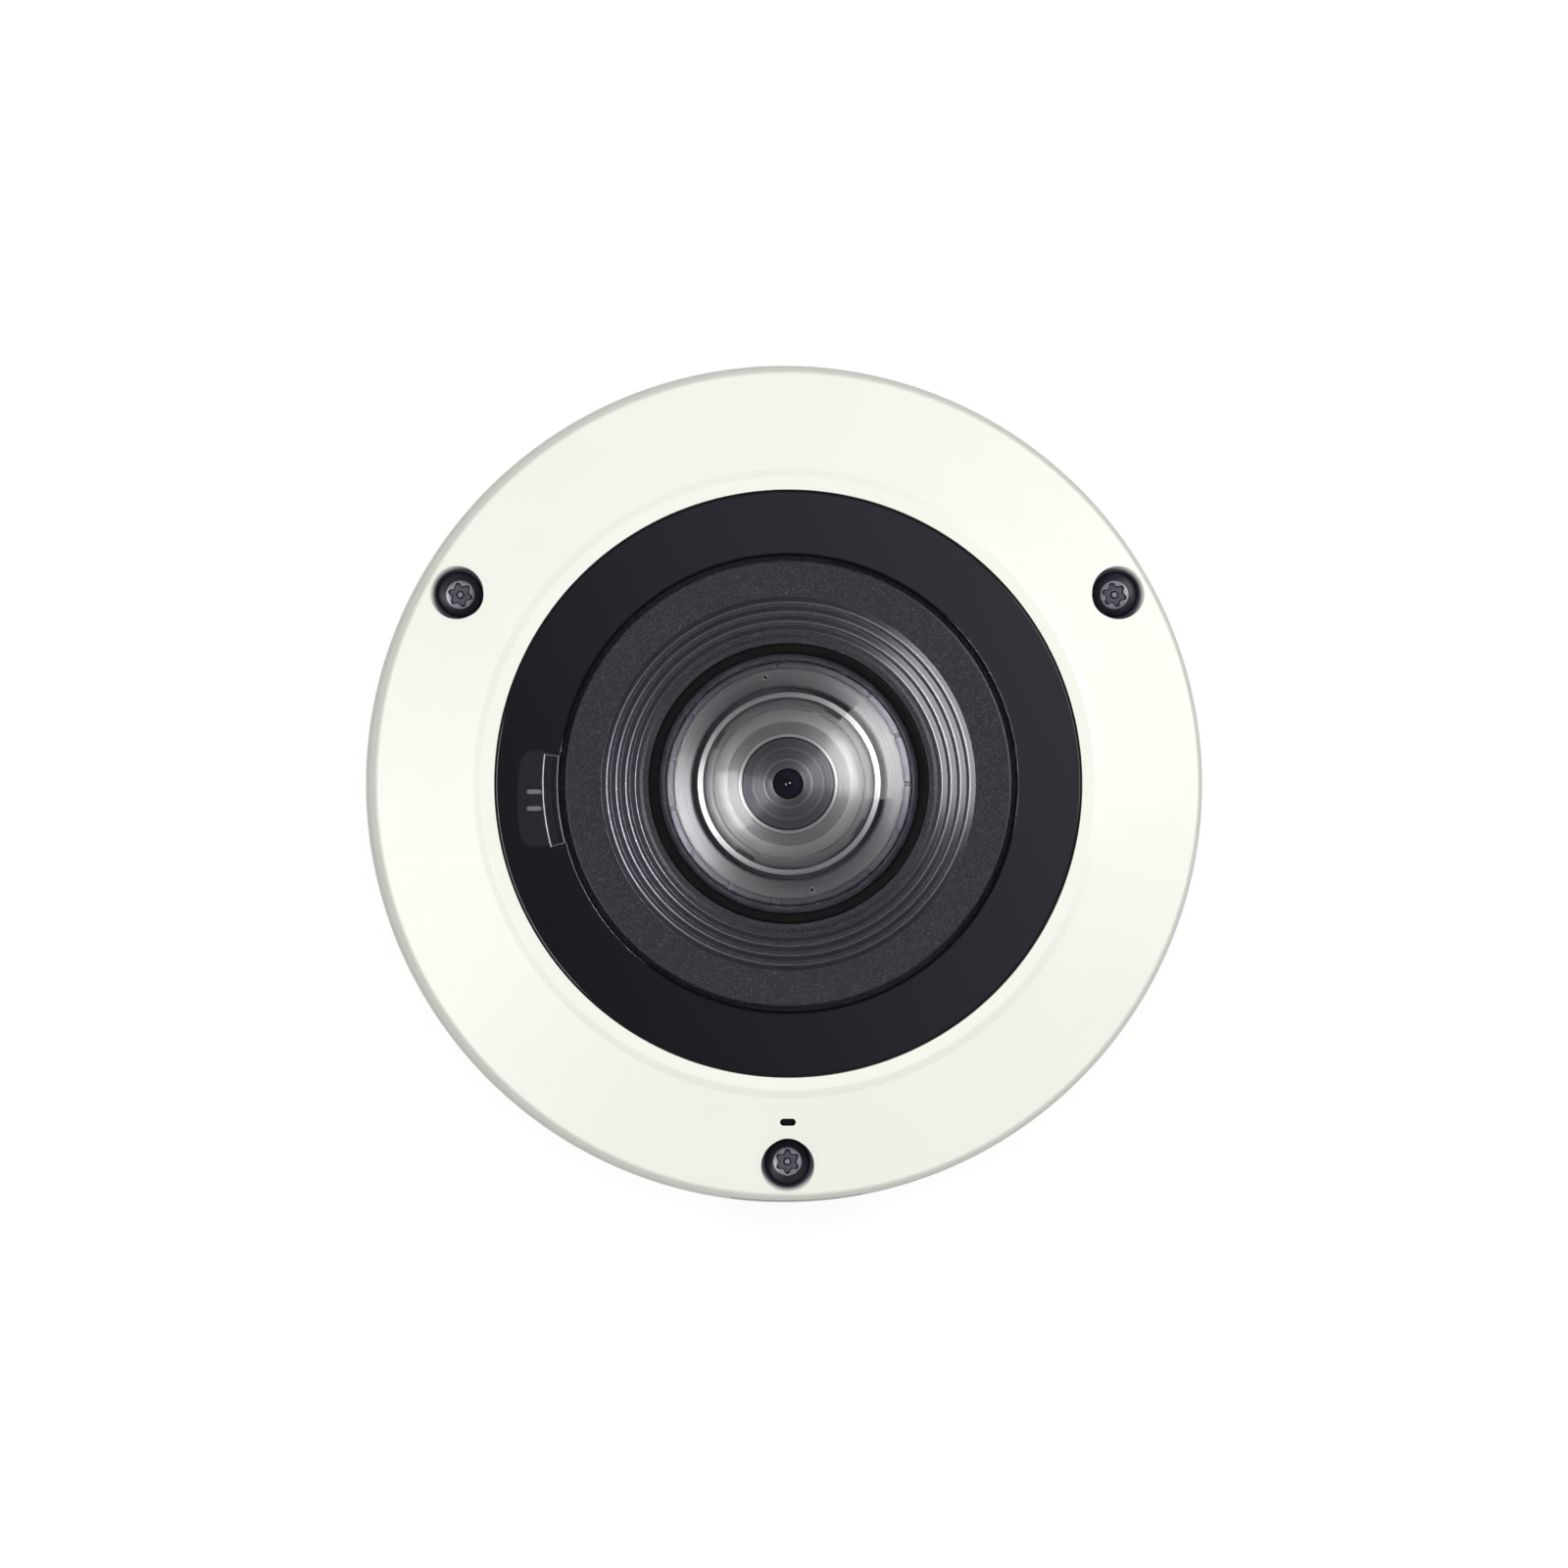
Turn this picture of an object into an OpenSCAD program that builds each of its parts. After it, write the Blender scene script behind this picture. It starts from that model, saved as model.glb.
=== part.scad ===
// Recessed fisheye network camera with an infrared ring, built as an assembly.
// Millimetres. The origin is the centre of the back mounting face and +Z points out of the lens.

/* [Base] */
// Outside diameter of the base at its mounting face
housing_d = 145; // [144:0.5:150]
// Height of the base from the mounting face to the parting line
base_h = 14; // [13.5:0.5:17]
// Thickness of the base floor
floor_t = 3; // [2.6:0.1:3.4]
// Thickness of the base side wall at the parting line
base_wall_t = 4.2; // [4:0.1:4.8]
// How far the base draws in from its mounting face to the parting line
base_draft = 0.5; // [0.2:0.1:0.8]
// Shadow gap between the base and the cover
parting_gap = 0.3; // [0.2:0.05:0.4]
// Width of the gasket groove in the top of the base wall
gasket_w = 2; // [1.6:0.1:2.2]
// Depth of the gasket groove
groove_depth = 1.6; // [1.2:0.1:2]
// Diameter of the circle on which the ceiling screws stand
mount_pcd = 112; // [110:0.5:113]
// Diameter of a ceiling screw hole
mount_hole_d = 5; // [4.4:0.1:5.4]
// Number of ceiling screw holes
mount_hole_count = 3; // [3]
// Height of the posts that carry the main board
post_h = 2; // [1.8:0.1:2.4]
// Diameter of a board post
post_d = 6; // [5.4:0.2:6.4]
// Diameter of the circle of the board posts
post_pcd = 84; // [83:0.5:85]

/* [Cable entries] */
// Diameter of the cable hole in the base floor
entry_d = 17; // [15:0.5:17.5]
// Distance of the cable hole in from the housing's edge
entry_inset = 21.5; // [21:0.1:22]
// Direction of the cable hole
entry_angle = 255; // [254:0.5:256]
// Width of the grommet's flange beyond the cable hole
grommet_flange_w = 1.6; // [1:0.1:1.8]
// Thickness of the grommet's flange
grommet_flange_t = 1.5; // [1:0.1:1.8]
// Diameter of the hole through the grommet
grommet_bore_d = 6.4; // [5:0.2:8]
// Width of the side cable notch
notch_w = 23; // [20:0.5:24]
// Height of the side cable notch
notch_h = 8; // [6:0.5:9]
// Depth of the side cable notch
notch_depth = 2.2; // [1.8:0.1:2.4]
// Direction of the middle of the side notch
notch_angle = 271.7; // [268:0.1:273]
// Diameter of the breather vent
vent_d = 6; // [5:0.2:7]
// Distance of the breather vent in from the housing's edge
vent_inset = 16.5; // [14.5:0.5:18.5]
// Direction of the breather vent
vent_angle = 50; // [45:1:55]
// Clearance round pieces that are bonded or snapped into a hole
snap_fit = 0.05; // [0.03:0.01:0.08]

/* [Cover] */
// Height of the cover's side skirt
skirt_h = 10.7; // [10.5:0.1:12]
// Distance of the sloped face's outer edge in from the housing's edge
rim_inset = 1.25; // [1:0.05:1.5]
// Rounding of the outer edge of the cover
rim_round = 1.2; // [0.8:0.1:1.6]
// Rise of the sloped face
face_rise = 5.5; // [5:0.1:6.5]
// Diameter of the sloped face at its inner edge
face_in_d = 108.8; // [108.4:0.1:109.6]
// Diameter at which the hollow blend meets the collar
collar_d = 106; // [105.6:0.1:106.4]
// Rise of the collar above the sloped face
collar_rise = 0.9; // [0.6:0.1:1.1]
// Wall thickness of the cover
cover_t = 2.6; // [2.3:0.1:2.8]
// Width of the foot that closes on the base
foot_w = 3.8; // [3.4:0.1:4.2]
// Height of that foot
foot_h = 2; // [1.6:0.1:2.4]
// Width of the ledge that carries the window ring
ledge_w = 2; // [1.8:0.1:2.2]
// Thickness of that ledge
ledge_t = 1.6; // [1.4:0.1:1.8]
// Radial clearance round the window ring
window_fit = 0.1; // [0.05:0.01:0.15]
// Length of the microphone slot
mic_slot_l = 2.76; // [2.4:0.02:3.2]
// Width of the microphone slot
mic_slot_w = 1.24; // [1:0.02:1.4]
// Distance of the microphone slot from the centre
mic_slot_radius = 58.5; // [58.2:0.1:58.6]
// Direction of the microphone slot and of the lowest cover screw
mic_angle = 270; // [270]

/* [Cover screws] */
// Distance of the cover screws in from the housing's edge
screw_inset = 7.2; // [7.05:0.05:7.35]
// Number of cover screws
screw_count = 3; // [3]
// Direction of the first cover screw
screw_angle = 30; // [30]
// Diameter of a screw head
head_d = 8; // [7.4:0.1:8.2]
// Height of a screw head at its crown
head_h = 2.5; // [2.2:0.1:2.8]
// Height of the straight side of a screw head
head_side_h = 1.1; // [0.8:0.1:1.4]
// Thread diameter of a cover screw
screw_thread_d = 4; // [3.6:0.1:4.2]
// Shank diameter between the head and the thread
screw_neck_d = 3.2; // [3:0.1:3.3]
// Length of a cover screw under its head
screw_l = 17; // [16:0.5:18]
// Length of the thread
screw_thread_l = 7; // [6:0.5:7.4]
// Point-to-point size of the star socket
star_d = 4.16; // [3.8:0.02:4.4]
// Valley-to-valley size of the star socket as a share of its point size
star_valley_share = 0.66; // [0.6:0.02:0.75]
// Depth of the star socket
star_depth = 1.4; // [1:0.1:1.7]
// Diameter of the security pin in the socket
star_pin_d = 0.98; // [0.8:0.02:1.1]
// Height of the security pin
star_pin_h = 1; // [0.7:0.1:1.1]
// Diameter of the recess round a head
recess_d = 9.2; // [9:0.1:9.6]
// Wall left round the recess inside the cover
recess_wall = 1.1; // [1:0.1:1.2]
// Height of the recess floor above the foot of the cover
recess_floor_h = 8.4; // [8.2:0.1:8.8]
// Radial clearance of a screw in its hole and in the thread of the base
screw_fit = 0.05; // [0.03:0.01:0.08]
// Radial clearance of the thread through the cover
screw_pass = 0.2; // [0.15:0.01:0.25]
// Diameter of a screw boss in the base
boss_d = 8.8; // [8:0.1:9]
// Depth of the threaded hole in a boss
boss_bore_h = 10; // [10:0.1:10.6]
// Diameter of the washer that keeps a screw in the cover
retainer_d = 7; // [6.4:0.1:7.2]
// Thickness of that washer
retainer_t = 0.9; // [0.7:0.1:1]
// Diameter of the sealing ring under a head
screw_seal_d = 6.4; // [6:0.1:6.6]
// Gap between a head and its recess floor
head_gap = 0.05; // [0.03:0.01:0.08]
// Thickness of the sealing ring
screw_seal_t = 0.8; // [0.6:0.1:0.9]

/* [Infrared window] */
// Outside diameter of the window ring
window_d = 101.8; // [101.4:0.1:102.2]
// Inside diameter of the window ring
window_in_d = 78.7; // [78.4:0.1:79]
// Thickness of the window ring
window_t = 2.4; // [2.2:0.1:2.8]
// Bevel along the outer edge of the window ring
window_bevel = 0.6; // [0.4:0.05:0.8]
// Bevel along the inner edge of the window ring
window_in_bevel = 0.25; // [0.15:0.05:0.35]
// How far the window lies below the collar
window_sink = 0.2; // [0.1:0.05:0.3]
// Thickness of the seals under the window
seal_t = 0.5; // [0.4:0.05:0.6]
// Radial width of the seals under the window
seal_w = 1.5; // [1.2:0.1:1.6]
// Length of the clear sensor insert
insert_l = 16; // [15:0.5:17]
// Radial width of the clear sensor insert
insert_w = 3.1; // [2.8:0.1:3.3]
// Direction of the middle of the sensor insert
insert_angle = 184; // [182:0.5:186]

/* [Bezel] */
// Outside diameter of the bezel face
bezel_d = 77.3; // [77:0.1:77.8]
// How far the bezel's outer face lies below the window
bezel_sink = 0.2; // [0.1:0.05:0.4]
// Radial width from the hole for the dome out to where the first step rises
step_zone_w = 8.15; // [7.9:0.05:8.4]
// Number of steps round the dome
step_count = 4; // [4]
// Radial distance from one step to the next
step_pitch = 1.645; // [1.6:0.01:1.68]
// Radial width of the slope of a step
step_slope_w = 0.95; // [0.8:0.05:1.1]
// Rise of one step
step_rise = 0.85; // [0.75:0.05:0.95]
// Radial width of the rounded crest inside the last step
crest_w = 0.7; // [0.5:0.1:0.8]
// Rise of that crest
crest_rise = 0.25; // [0.15:0.05:0.3]
// Wall thickness of the bezel
bezel_t = 2; // [1.8:0.1:2.2]
// Width of the flange that lies under the window
bezel_flange_w = 3.1; // [2.9:0.1:3.3]
// Thickness of the wall round the dome's flange
pocket_wall = 1.8; // [1.6:0.1:2]

/* [Dome] */
// Outside diameter of the dome
dome_d = 44.8; // [44.6:0.1:45.2]
// Height of the dome above the bezel
dome_rise = 12.6; // [12:0.1:13.5]
// Wall thickness of the dome
dome_t = 1.5; // [1.3:0.1:1.6]
// Width of the flange at the foot of the dome
dome_flange_w = 3.2; // [3:0.1:3.4]
// Thickness of that flange
dome_flange_t = 1.5; // [1.3:0.1:1.7]
// Radial room for the rubber seal between the dome and the bezel
dome_seal_w = 1.8; // [1.7:0.05:2]
// Height of that seal
dome_seal_h = 4.2; // [4:0.1:4.4]
// How far the rubber seal stands above the bezel
dome_seal_proud = 0.2; // [0.1:0.05:0.3]
// Thickness of the ring that clamps the dome's flange
clamp_t = 1.6; // [1.4:0.1:1.8]
// Radial clearance round the seal, the flange and the clamping ring
dome_fit = 0.05; // [0.03:0.01:0.08]

/* [Front frame] */
// Thickness of the plastic frame that holds the window and the bezel
frame_t = 1.5; // [1.4:0.1:1.8]
// Radial distance from the frame's outer edge to its inner edge
frame_w = 19; // [18.7:0.1:19.3]
// Outside diameter of the frame's outer ring
frame_d = 106; // [105.6:0.1:106.4]
// Width of the spokes between the two rings
spoke_w = 6; // [5:0.5:7]
// Diameter of the circle of the frame screws
frame_screw_pcd = 110; // [109.6:0.1:110.4]
// Number of frame screws
frame_screw_count = 6; // [6]
// Thread diameter of a frame screw
frame_screw_d = 2.5; // [2.3:0.1:2.6]
// Length of a frame screw under its head
frame_screw_l = 3.6; // [3.2:0.1:3.8]
// Width of the wall round a frame screw
frame_screw_wall = 1.5; // [1.3:0.1:1.6]
// Width of the foam ring that keeps the infrared light from the dome
shield_w = 1.7; // [1.4:0.1:1.9]
// Height of the foam ring
shield_h = 2.4; // [2:0.1:2.6]

/* [Microphone] */
// Diameter of the microphone capsule
mic_d = 4; // [3.8:0.1:4.1]
// Height of the microphone capsule
mic_h = 1.5; // [1.2:0.1:1.8]
// Width of the rubber boot, towards the centre
mic_boot_w = 5; // [4.8:0.1:5.2]
// Length of the rubber boot
mic_boot_l = 9; // [8:0.5:10]
// Height of the rubber boot
mic_boot_h = 3.4; // [3:0.1:3.6]

/* [Lens] */
// Outside diameter of the lens barrel
barrel_d = 31; // [30.6:0.1:31.2]
// How far the barrel's front rim stands above the lock ring
barrel_proud = 2.4; // [2:0.1:2.8]
// How far the lock ring lies below the top of the bezel
lens_drop = 0.3; // [0.1:0.05:0.5]
// Wall of the barrel's front rim
barrel_rim_w = 0.9; // [0.8:0.05:1]
// Diameter of the front glass
front_glass_d = 26.6; // [26.2:0.1:26.8]
// Thickness of the front glass at its edge
front_glass_edge = 2.2; // [2:0.1:2.4]
// Height of the front glass's outer curve
front_glass_crown = 5.4; // [5:0.1:5.8]
// Diameter of the hollow in the back of the front glass
front_hollow_d = 20.8; // [20.4:0.1:21]
// Height of that hollow
front_hollow_h = 5.6; // [5.2:0.1:5.8]
// Thickness of the front glass's threaded ring
ring_t = 1.2; // [1:0.1:1.3]
// Width of the lip of that ring over the glass
ring_lip_w = 0.55; // [0.4:0.05:0.65]
// Wall left outside a key notch
key_wall = 0.2; // [0.15:0.05:0.3]
// Number of key notches in the ring
key_count = 4; // [4]
// Angle across a key notch
key_span = 14; // [12:1:16]
// Direction of the first key notch
key_angle = 58; // [56:1:60]
// Diameter of the second glass
middle_glass_d = 16.4; // [16:0.1:16.6]
// Height of the second glass's curve
middle_glass_crown = 2.6; // [2.2:0.1:2.8]
// Thickness of the second glass at its edge
middle_glass_edge = 1.2; // [1:0.1:1.4]
// Height of the bright spacer between the front and the second glass
spacer_h = 1.2; // [1:0.1:1.4]
// Diameter of the rear glass
rear_glass_d = 8.4; // [8:0.1:8.8]
// Thickness of the rear glass
rear_glass_t = 3; // [2.6:0.1:3.4]
// Height of the inner spacer
stop_h = 1.6; // [1.4:0.1:1.8]
// Radial clearance of glasses, rings and the barrel in their seats
lens_fit = 0.05; // [0.03:0.01:0.06]
// Outside diameter of the lock ring
lock_d = 38.8; // [38.6:0.1:39]
// Inside diameter of the lock ring
lock_in_d = 32.8; // [32.4:0.1:33]
// Thickness of the lock ring
lock_t = 1.2; // [1:0.1:1.4]
// Diameter of a spanner hole in the lock ring
spanner_d = 0.7; // [0.6:0.05:0.8]
// Distance of the spanner holes from the axis
spanner_radius = 18.4; // [18.2:0.1:18.6]
// Direction of the first spanner hole
spanner_angle = 102.4; // [100:0.2:105]
// Outside diameter of the castle nut
castle_d = 40.7; // [40.5:0.1:40.8]
// Number of teeth on the castle nut
castle_count = 15; // [12:1:18]
// Width of a slot between two teeth
castle_slot_w = 0.8; // [0.6:0.1:1]
// Height of the teeth above the lock ring
castle_proud = 0.3; // [0.2:0.1:0.5]
// Wall of the holder's tube
holder_wall = 1.45; // [1.3:0.05:1.5]
// Thickness of the flange on top of the holder
holder_flange_t = 1.2; // [1:0.1:1.3]
// Height of the holder's tube under that flange
holder_tube_h = 6.8; // [6.6:0.1:7]
// Width of the holder's square box
holder_w = 37; // [36.6:0.1:37.6]
// Height of the holder's square box
holder_box_h = 6.8; // [6.6:0.1:7.2]
// Thickness of the roof of that box
holder_roof_t = 0.8; // [0.7:0.1:1]

/* [Filter switcher] */
// Length of the switcher's tray
tray_l = 32; // [31.8:0.1:32.2]
// Width of the switcher's tray
tray_w = 23.2; // [23:0.1:23.4]
// Wall of the tray
tray_wall = 0.8; // [0.7:0.05:0.9]
// Thickness of the tray floor
tray_floor_t = 0.8; // [0.7:0.05:0.9]
// Distance of the optical axis from the tray's upper edge
tray_offset = 6; // [5.9:0.1:6.1]
// Gap between the image sensor's glass and the tray
tray_gap = 0.2; // [0.15:0.05:0.25]
// Opening in the tray floor
tray_window = 6.4; // [6:0.1:6.8]
// Distance between the two filters
filter_pitch = 9.6; // [9.4:0.1:9.8]
// Edge length of a filter
filter_w = 7.6; // [7.2:0.1:7.8]
// Thickness of a filter
filter_t = 0.45; // [0.4:0.05:0.5]
// Width of the ledge that carries a filter
filter_ledge = 0.4; // [0.3:0.05:0.5]
// Length of the filter carrier
carrier_l = 20; // [19.4:0.1:20.2]
// Width of the filter carrier
carrier_w = 9.6; // [9.2:0.1:9.8]
// Thickness of the filter carrier
carrier_t = 1; // [0.9:0.05:1.1]
// Height of the rails that carry it
rail_h = 0.5; // [0.4:0.05:0.6]
// Width of a rail
rail_w = 0.8; // [0.7:0.05:0.9]
// Running gap between the carrier and its rails
carrier_gap = 0.1; // [0.08:0.01:0.15]
// Distance of the rotor's shaft in from the switcher's edge
rotor_inset = 3.7; // [3.6:0.05:3.8]
// Length of the rotor's arm
arm_l = 9; // [8.9:0.05:9.1]
// Width of the rotor's arm
arm_w = 2; // [1.8:0.1:2.2]
// Thickness of the rotor's arm
arm_t = 0.7; // [0.6:0.05:0.8]
// Diameter of the drive pin
drive_pin_d = 1.2; // [1.1:0.05:1.3]
// Play of the drive pin in its slot on each side
drive_play = 0.2; // [0.18:0.01:0.24]
// Length of the slot of the drive pin
drive_slot_l = 2.9; // [2.8:0.05:3]
// Diameter of the rotor magnet
rotor_d = 5.2; // [4.8:0.1:5.4]
// Diameter of the rotor's shaft
rotor_shaft_d = 1.4; // [1.2:0.1:1.5]
// Running clearance of the rotor on its shaft
rotor_fit = 0.05; // [0.03:0.01:0.08]
// Length of the switcher's coil
coil_l = 6.5; // [6:0.1:7]
// Diameter of the switcher's coil
coil_d = 2.65; // [2.5:0.05:2.8]
// Diameter of the coil's iron core
core_d = 1.2; // [1:0.1:1.4]
// Gap between the coil's pole and the rotor
pole_gap = 0.3; // [0.2:0.05:0.4]

/* [Image sensor] */
// Thickness of the sensor board
sensor_board_t = 1.2; // [1:0.1:1.4]
// Edge length of the image sensor
sensor_w = 12; // [11:0.5:13]
// Thickness of the image sensor
sensor_t = 0.9; // [0.8:0.1:1]
// Diameter of the legs under the sensor board
leg_d = 4.4; // [4:0.1:4.8]
// Height of the legs under the sensor board
leg_h = 1.6; // [1.4:0.1:2]
// Width of the sensor ribbon cable
ribbon_w = 8; // [6:0.5:9]
// Thickness of the sensor ribbon cable
ribbon_t = 0.3; // [0.2:0.05:0.35]

/* [Chassis] */
// Diameter of the chassis plate
chassis_d = 92; // [91:0.5:93]
// Thickness of the chassis plate
chassis_t = 1.6; // [1.4:0.1:1.8]
// Distance of the chassis plate's straight edge from the centre
chassis_chord = 34; // [33.6:0.1:34.4]
// Width of a standoff across its flats
standoff_af = 5; // [4.6:0.1:5.4]
// Thread diameter of the chassis screws
chassis_screw_d = 3; // [2.8:0.1:3.1]
// Length of the chassis screws under their heads
chassis_screw_l = 6; // [5:0.5:6.5]

/* [Main board] */
// Diameter of the main board
board_d = 96; // [95:0.5:97]
// Thickness of the main board
board_t = 1.6; // [1.4:0.1:1.7]
// Distance of the main board's straight edge from the centre
board_chord = 40; // [39.6:0.1:40.4]
// Edge length of the processor
chip_w = 14; // [13:0.5:15]
// Thickness of the processor
chip_t = 1.2; // [1:0.1:1.4]
// Distance of the processor from the centre
chip_offset = 8; // [7:0.5:9]
// Thickness of the thermal pad
pad_t = 1; // [0.8:0.1:1.2]
// Length of a memory chip
memory_l = 10; // [9:0.5:11]
// Width of a memory chip
memory_w = 8; // [7:0.5:9]
// Thickness of a memory chip
memory_t = 1; // [0.8:0.1:1.2]
// Width of the network socket
jack_w = 16; // [15.8:0.1:16.4]
// Depth of the network socket
jack_l = 20.4; // [20:0.1:20.6]
// Height of the network socket
jack_h = 13.4; // [13:0.1:13.8]
// Wall of the network socket
jack_wall = 1.6; // [1.4:0.1:1.8]
// Distance of the network socket's middle from the centre line
jack_offset = 16; // [15.8:0.1:16.2]
// Width of the power terminal
terminal_w = 10; // [9.6:0.1:10.4]
// Depth of the power terminal
terminal_l = 8; // [7.6:0.1:8.2]
// Height of the power terminal
terminal_h = 10; // [9.6:0.1:10.4]
// Distance of the power terminal's middle from the centre line
terminal_offset = 6; // [5.8:0.1:6.2]
// Distance between the power terminal's two ways
terminal_pitch = 5; // [4.8:0.1:5.1]
// Diameter of a terminal screw
terminal_screw_d = 3; // [2.8:0.1:3.2]
// Length of a terminal screw
terminal_screw_l = 5; // [4.5:0.1:5.4]
// Edge length of the reset switch
switch_w = 6; // [5.6:0.1:6.2]
// Height of the reset switch's body
switch_h = 3.5; // [3.2:0.1:3.8]
// Distance of the reset switch from the centre line
switch_offset = 21; // [20.8:0.1:21.2]
// Diameter of the reset plunger
plunger_d = 3.4; // [3:0.1:3.6]
// Height of the plunger above its switch
plunger_h = 1.2; // [1:0.1:1.4]
// Travel of the reset plunger
plunger_travel = 0.3; // [0.2:0.05:0.4]
// Length of the memory card socket
card_l = 15; // [14.5:0.1:15.5]
// Width of the memory card socket
card_w = 14; // [13.6:0.1:14.4]
// Height of the memory card socket
card_h = 2; // [1.8:0.1:2.2]

/* [Infrared lights] */
// Thickness of the light board
led_board_t = 1.2; // [1:0.1:1.4]
// Inside diameter of the light board
led_board_in_d = 76; // [75.6:0.1:76.4]
// Outside diameter of the light board
led_board_d = 98; // [97:0.5:98.5]
// Angle of the gap in the light board
led_gap = 80; // [78:1:84]
// Distance between the light board and the front frame
led_clear = 3; // [2.8:0.1:3.3]
// Distance of the lights from the centre
led_radius = 45; // [44.6:0.1:45.4]
// Edge length of an infrared light
led_w = 3.5; // [3.2:0.1:3.8]
// Height of an infrared light's body
led_h = 0.9; // [0.8:0.1:1.1]
// Diameter of an infrared light's lens
led_lens_d = 2.8; // [2.4:0.1:3]
// Distance of the light board's posts from the centre
led_post_radius = 41.2; // [41:0.1:41.4]
// Diameter of a light board post
led_post_d = 4.4; // [4:0.1:4.6]

/* [Hidden] */

// Segments of round surfaces
$fn = 96;
// Segments where a small piece follows the housing's curve
fine_segments = 360;
// How far a cut runs past the faces that it opens
overrun = 1;
// How far a joined piece reaches into its neighbour, and a bore past a screw's tip
overlap = 0.5;

// Base and cover
base_top_r = housing_d / 2 - base_draft;
base_in_r = base_top_r - base_wall_t;
groove_r = base_top_r - base_wall_t / 2;
// How far a screw boss ends below the parting line
boss_drop = 0.2;
screw_r = housing_d / 2 - screw_inset;
entry_radius = housing_d / 2 - entry_inset;
vent_radius = housing_d / 2 - vent_inset;
foot_z = base_h + parting_gap;
rim_z = foot_z + skirt_h;
face_z = rim_z + face_rise;
collar_z = face_z + collar_rise;
rim_r = housing_d / 2 - rim_inset;
face_r = face_in_d / 2;
collar_r = collar_d / 2;
slope = face_rise / (rim_r - face_r);
recess_z = foot_z + recess_floor_h;
post_r = recess_d / 2 + recess_wall;
// How far the skirt stands outside the sloped face's edge, just under its rounding
rim_bevel = 0.15;
// Cap of the breather vent: width beyond its hole and thickness
vent_cap_w = 1;
vent_cap_t = 1.2;

// Window and bezel
window_z = collar_z - window_sink;
window_r = window_d / 2;
window_in_r = window_in_d / 2;
window_bore_r = window_r + window_fit;
seat_z = window_z - window_t - seal_t;
ledge_z = seat_z - ledge_t;
ledge_r = window_bore_r - ledge_w;
bezel_z = window_z - bezel_sink;
bezel_r = bezel_d / 2;
bezel_flange_r = bezel_r + bezel_flange_w;
dome_r = dome_d / 2;
hole_r = dome_r + dome_seal_w;
step_r = hole_r + step_zone_w;
crest_z = bezel_z + step_count * step_rise;
crest_r = step_r - (step_count - 1) * step_pitch - step_slope_w;
land_z = crest_z + crest_rise;
// Bevel along the bezel's outer edge
bezel_edge = 0.3;

// Dome
dome_sphere_r = (dome_r * dome_r + dome_rise * dome_rise) / (2 * dome_rise);
dome_centre_z = land_z + dome_rise - dome_sphere_r;
dome_flange_r = dome_r + dome_flange_w;
dome_flange_z = land_z + dome_seal_proud - dome_seal_h;
clamp_z = dome_flange_z - dome_flange_t - clamp_t;
pocket_r = dome_flange_r + dome_fit;

// Front frame
frame_z = ledge_z - frame_t;
frame_r = frame_d / 2;
frame_in_r = frame_r - frame_w;
frame_screw_r = frame_screw_pcd / 2;
frame_ear_r = frame_screw_d / 2 + frame_screw_wall;
// How far the shield stands in from the frame's inner edge
shield_inset = 1.5;
shield_in_r = frame_in_r + shield_inset;
// Directions of the frame's spokes
spoke_angles = [90, 210, 330];

// Head diameter and height of small screws as shares of their thread diameter
head_share = 1.8;
head_height_share = 0.6;

// Microphone
// How far the boot reaches past the slot, and the boot's floor
boot_lip = 0.35;
mic_floor_t = 0.8;
boot_out_y = mic_slot_radius + mic_slot_w / 2 + boot_lip;
boot_y = boot_out_y - mic_boot_w / 2;
boot_z = face_under(boot_out_y) - mic_boot_h;

// Lens stack, from the lock ring down
lock_z = land_z - lens_drop;
flange_z = lock_z - lock_t;
tube_z = flange_z - holder_flange_t;
box_z = tube_z - holder_tube_h;
roof_z = box_z - holder_roof_t;
sensor_z = box_z - holder_box_h;
barrel_r = barrel_d / 2;
barrel_z = lock_z + barrel_proud;
ring_r = barrel_r - barrel_rim_w - lens_fit;
ring_z = barrel_z - ring_t;
front_r = front_glass_d / 2;
front_sphere_r = cap_radius(front_r, front_glass_crown);
front_centre_z = ring_z + front_glass_crown - front_sphere_r;
front_back_z = ring_z - front_glass_edge;
hollow_r = front_hollow_d / 2;
hollow_sphere_r = cap_radius(hollow_r, front_hollow_h);
hollow_centre_z = front_back_z + front_hollow_h - hollow_sphere_r;
spacer_z = front_back_z - spacer_h;
middle_r = middle_glass_d / 2;
middle_sphere_r = cap_radius(middle_r, middle_glass_crown);
middle_centre_z = spacer_z + middle_glass_crown - middle_sphere_r;
middle_z = spacer_z - middle_glass_edge;
stop_z = middle_z - stop_h;
rear_r = rear_glass_d / 2;
rear_z = stop_z - rear_glass_t;
// Width of the edge that the rear glass rests on
rear_lip = 0.6;
// Bevel of the barrel's front edge
barrel_edge = 0.2;
// Thread diameter of the screws that hold the lens down
lens_screw_d = 2;
// Radii of the stop ring's steps as shares of the second glass's radius, from its mouth inwards
stop_step_shares = [0.86, 0.73, 0.6, 0.49, 0.36];

// Filter switcher
tray_z = sensor_z + sensor_t + tray_gap;
tray_floor_z = tray_z + tray_floor_t;
tray_y = tray_offset - tray_w;
// Room round the filter tray in the lens holder
tray_fit = 0.2;
carrier_z = tray_floor_z + rail_h + carrier_gap;
carrier_x = filter_pitch / 2;
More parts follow.
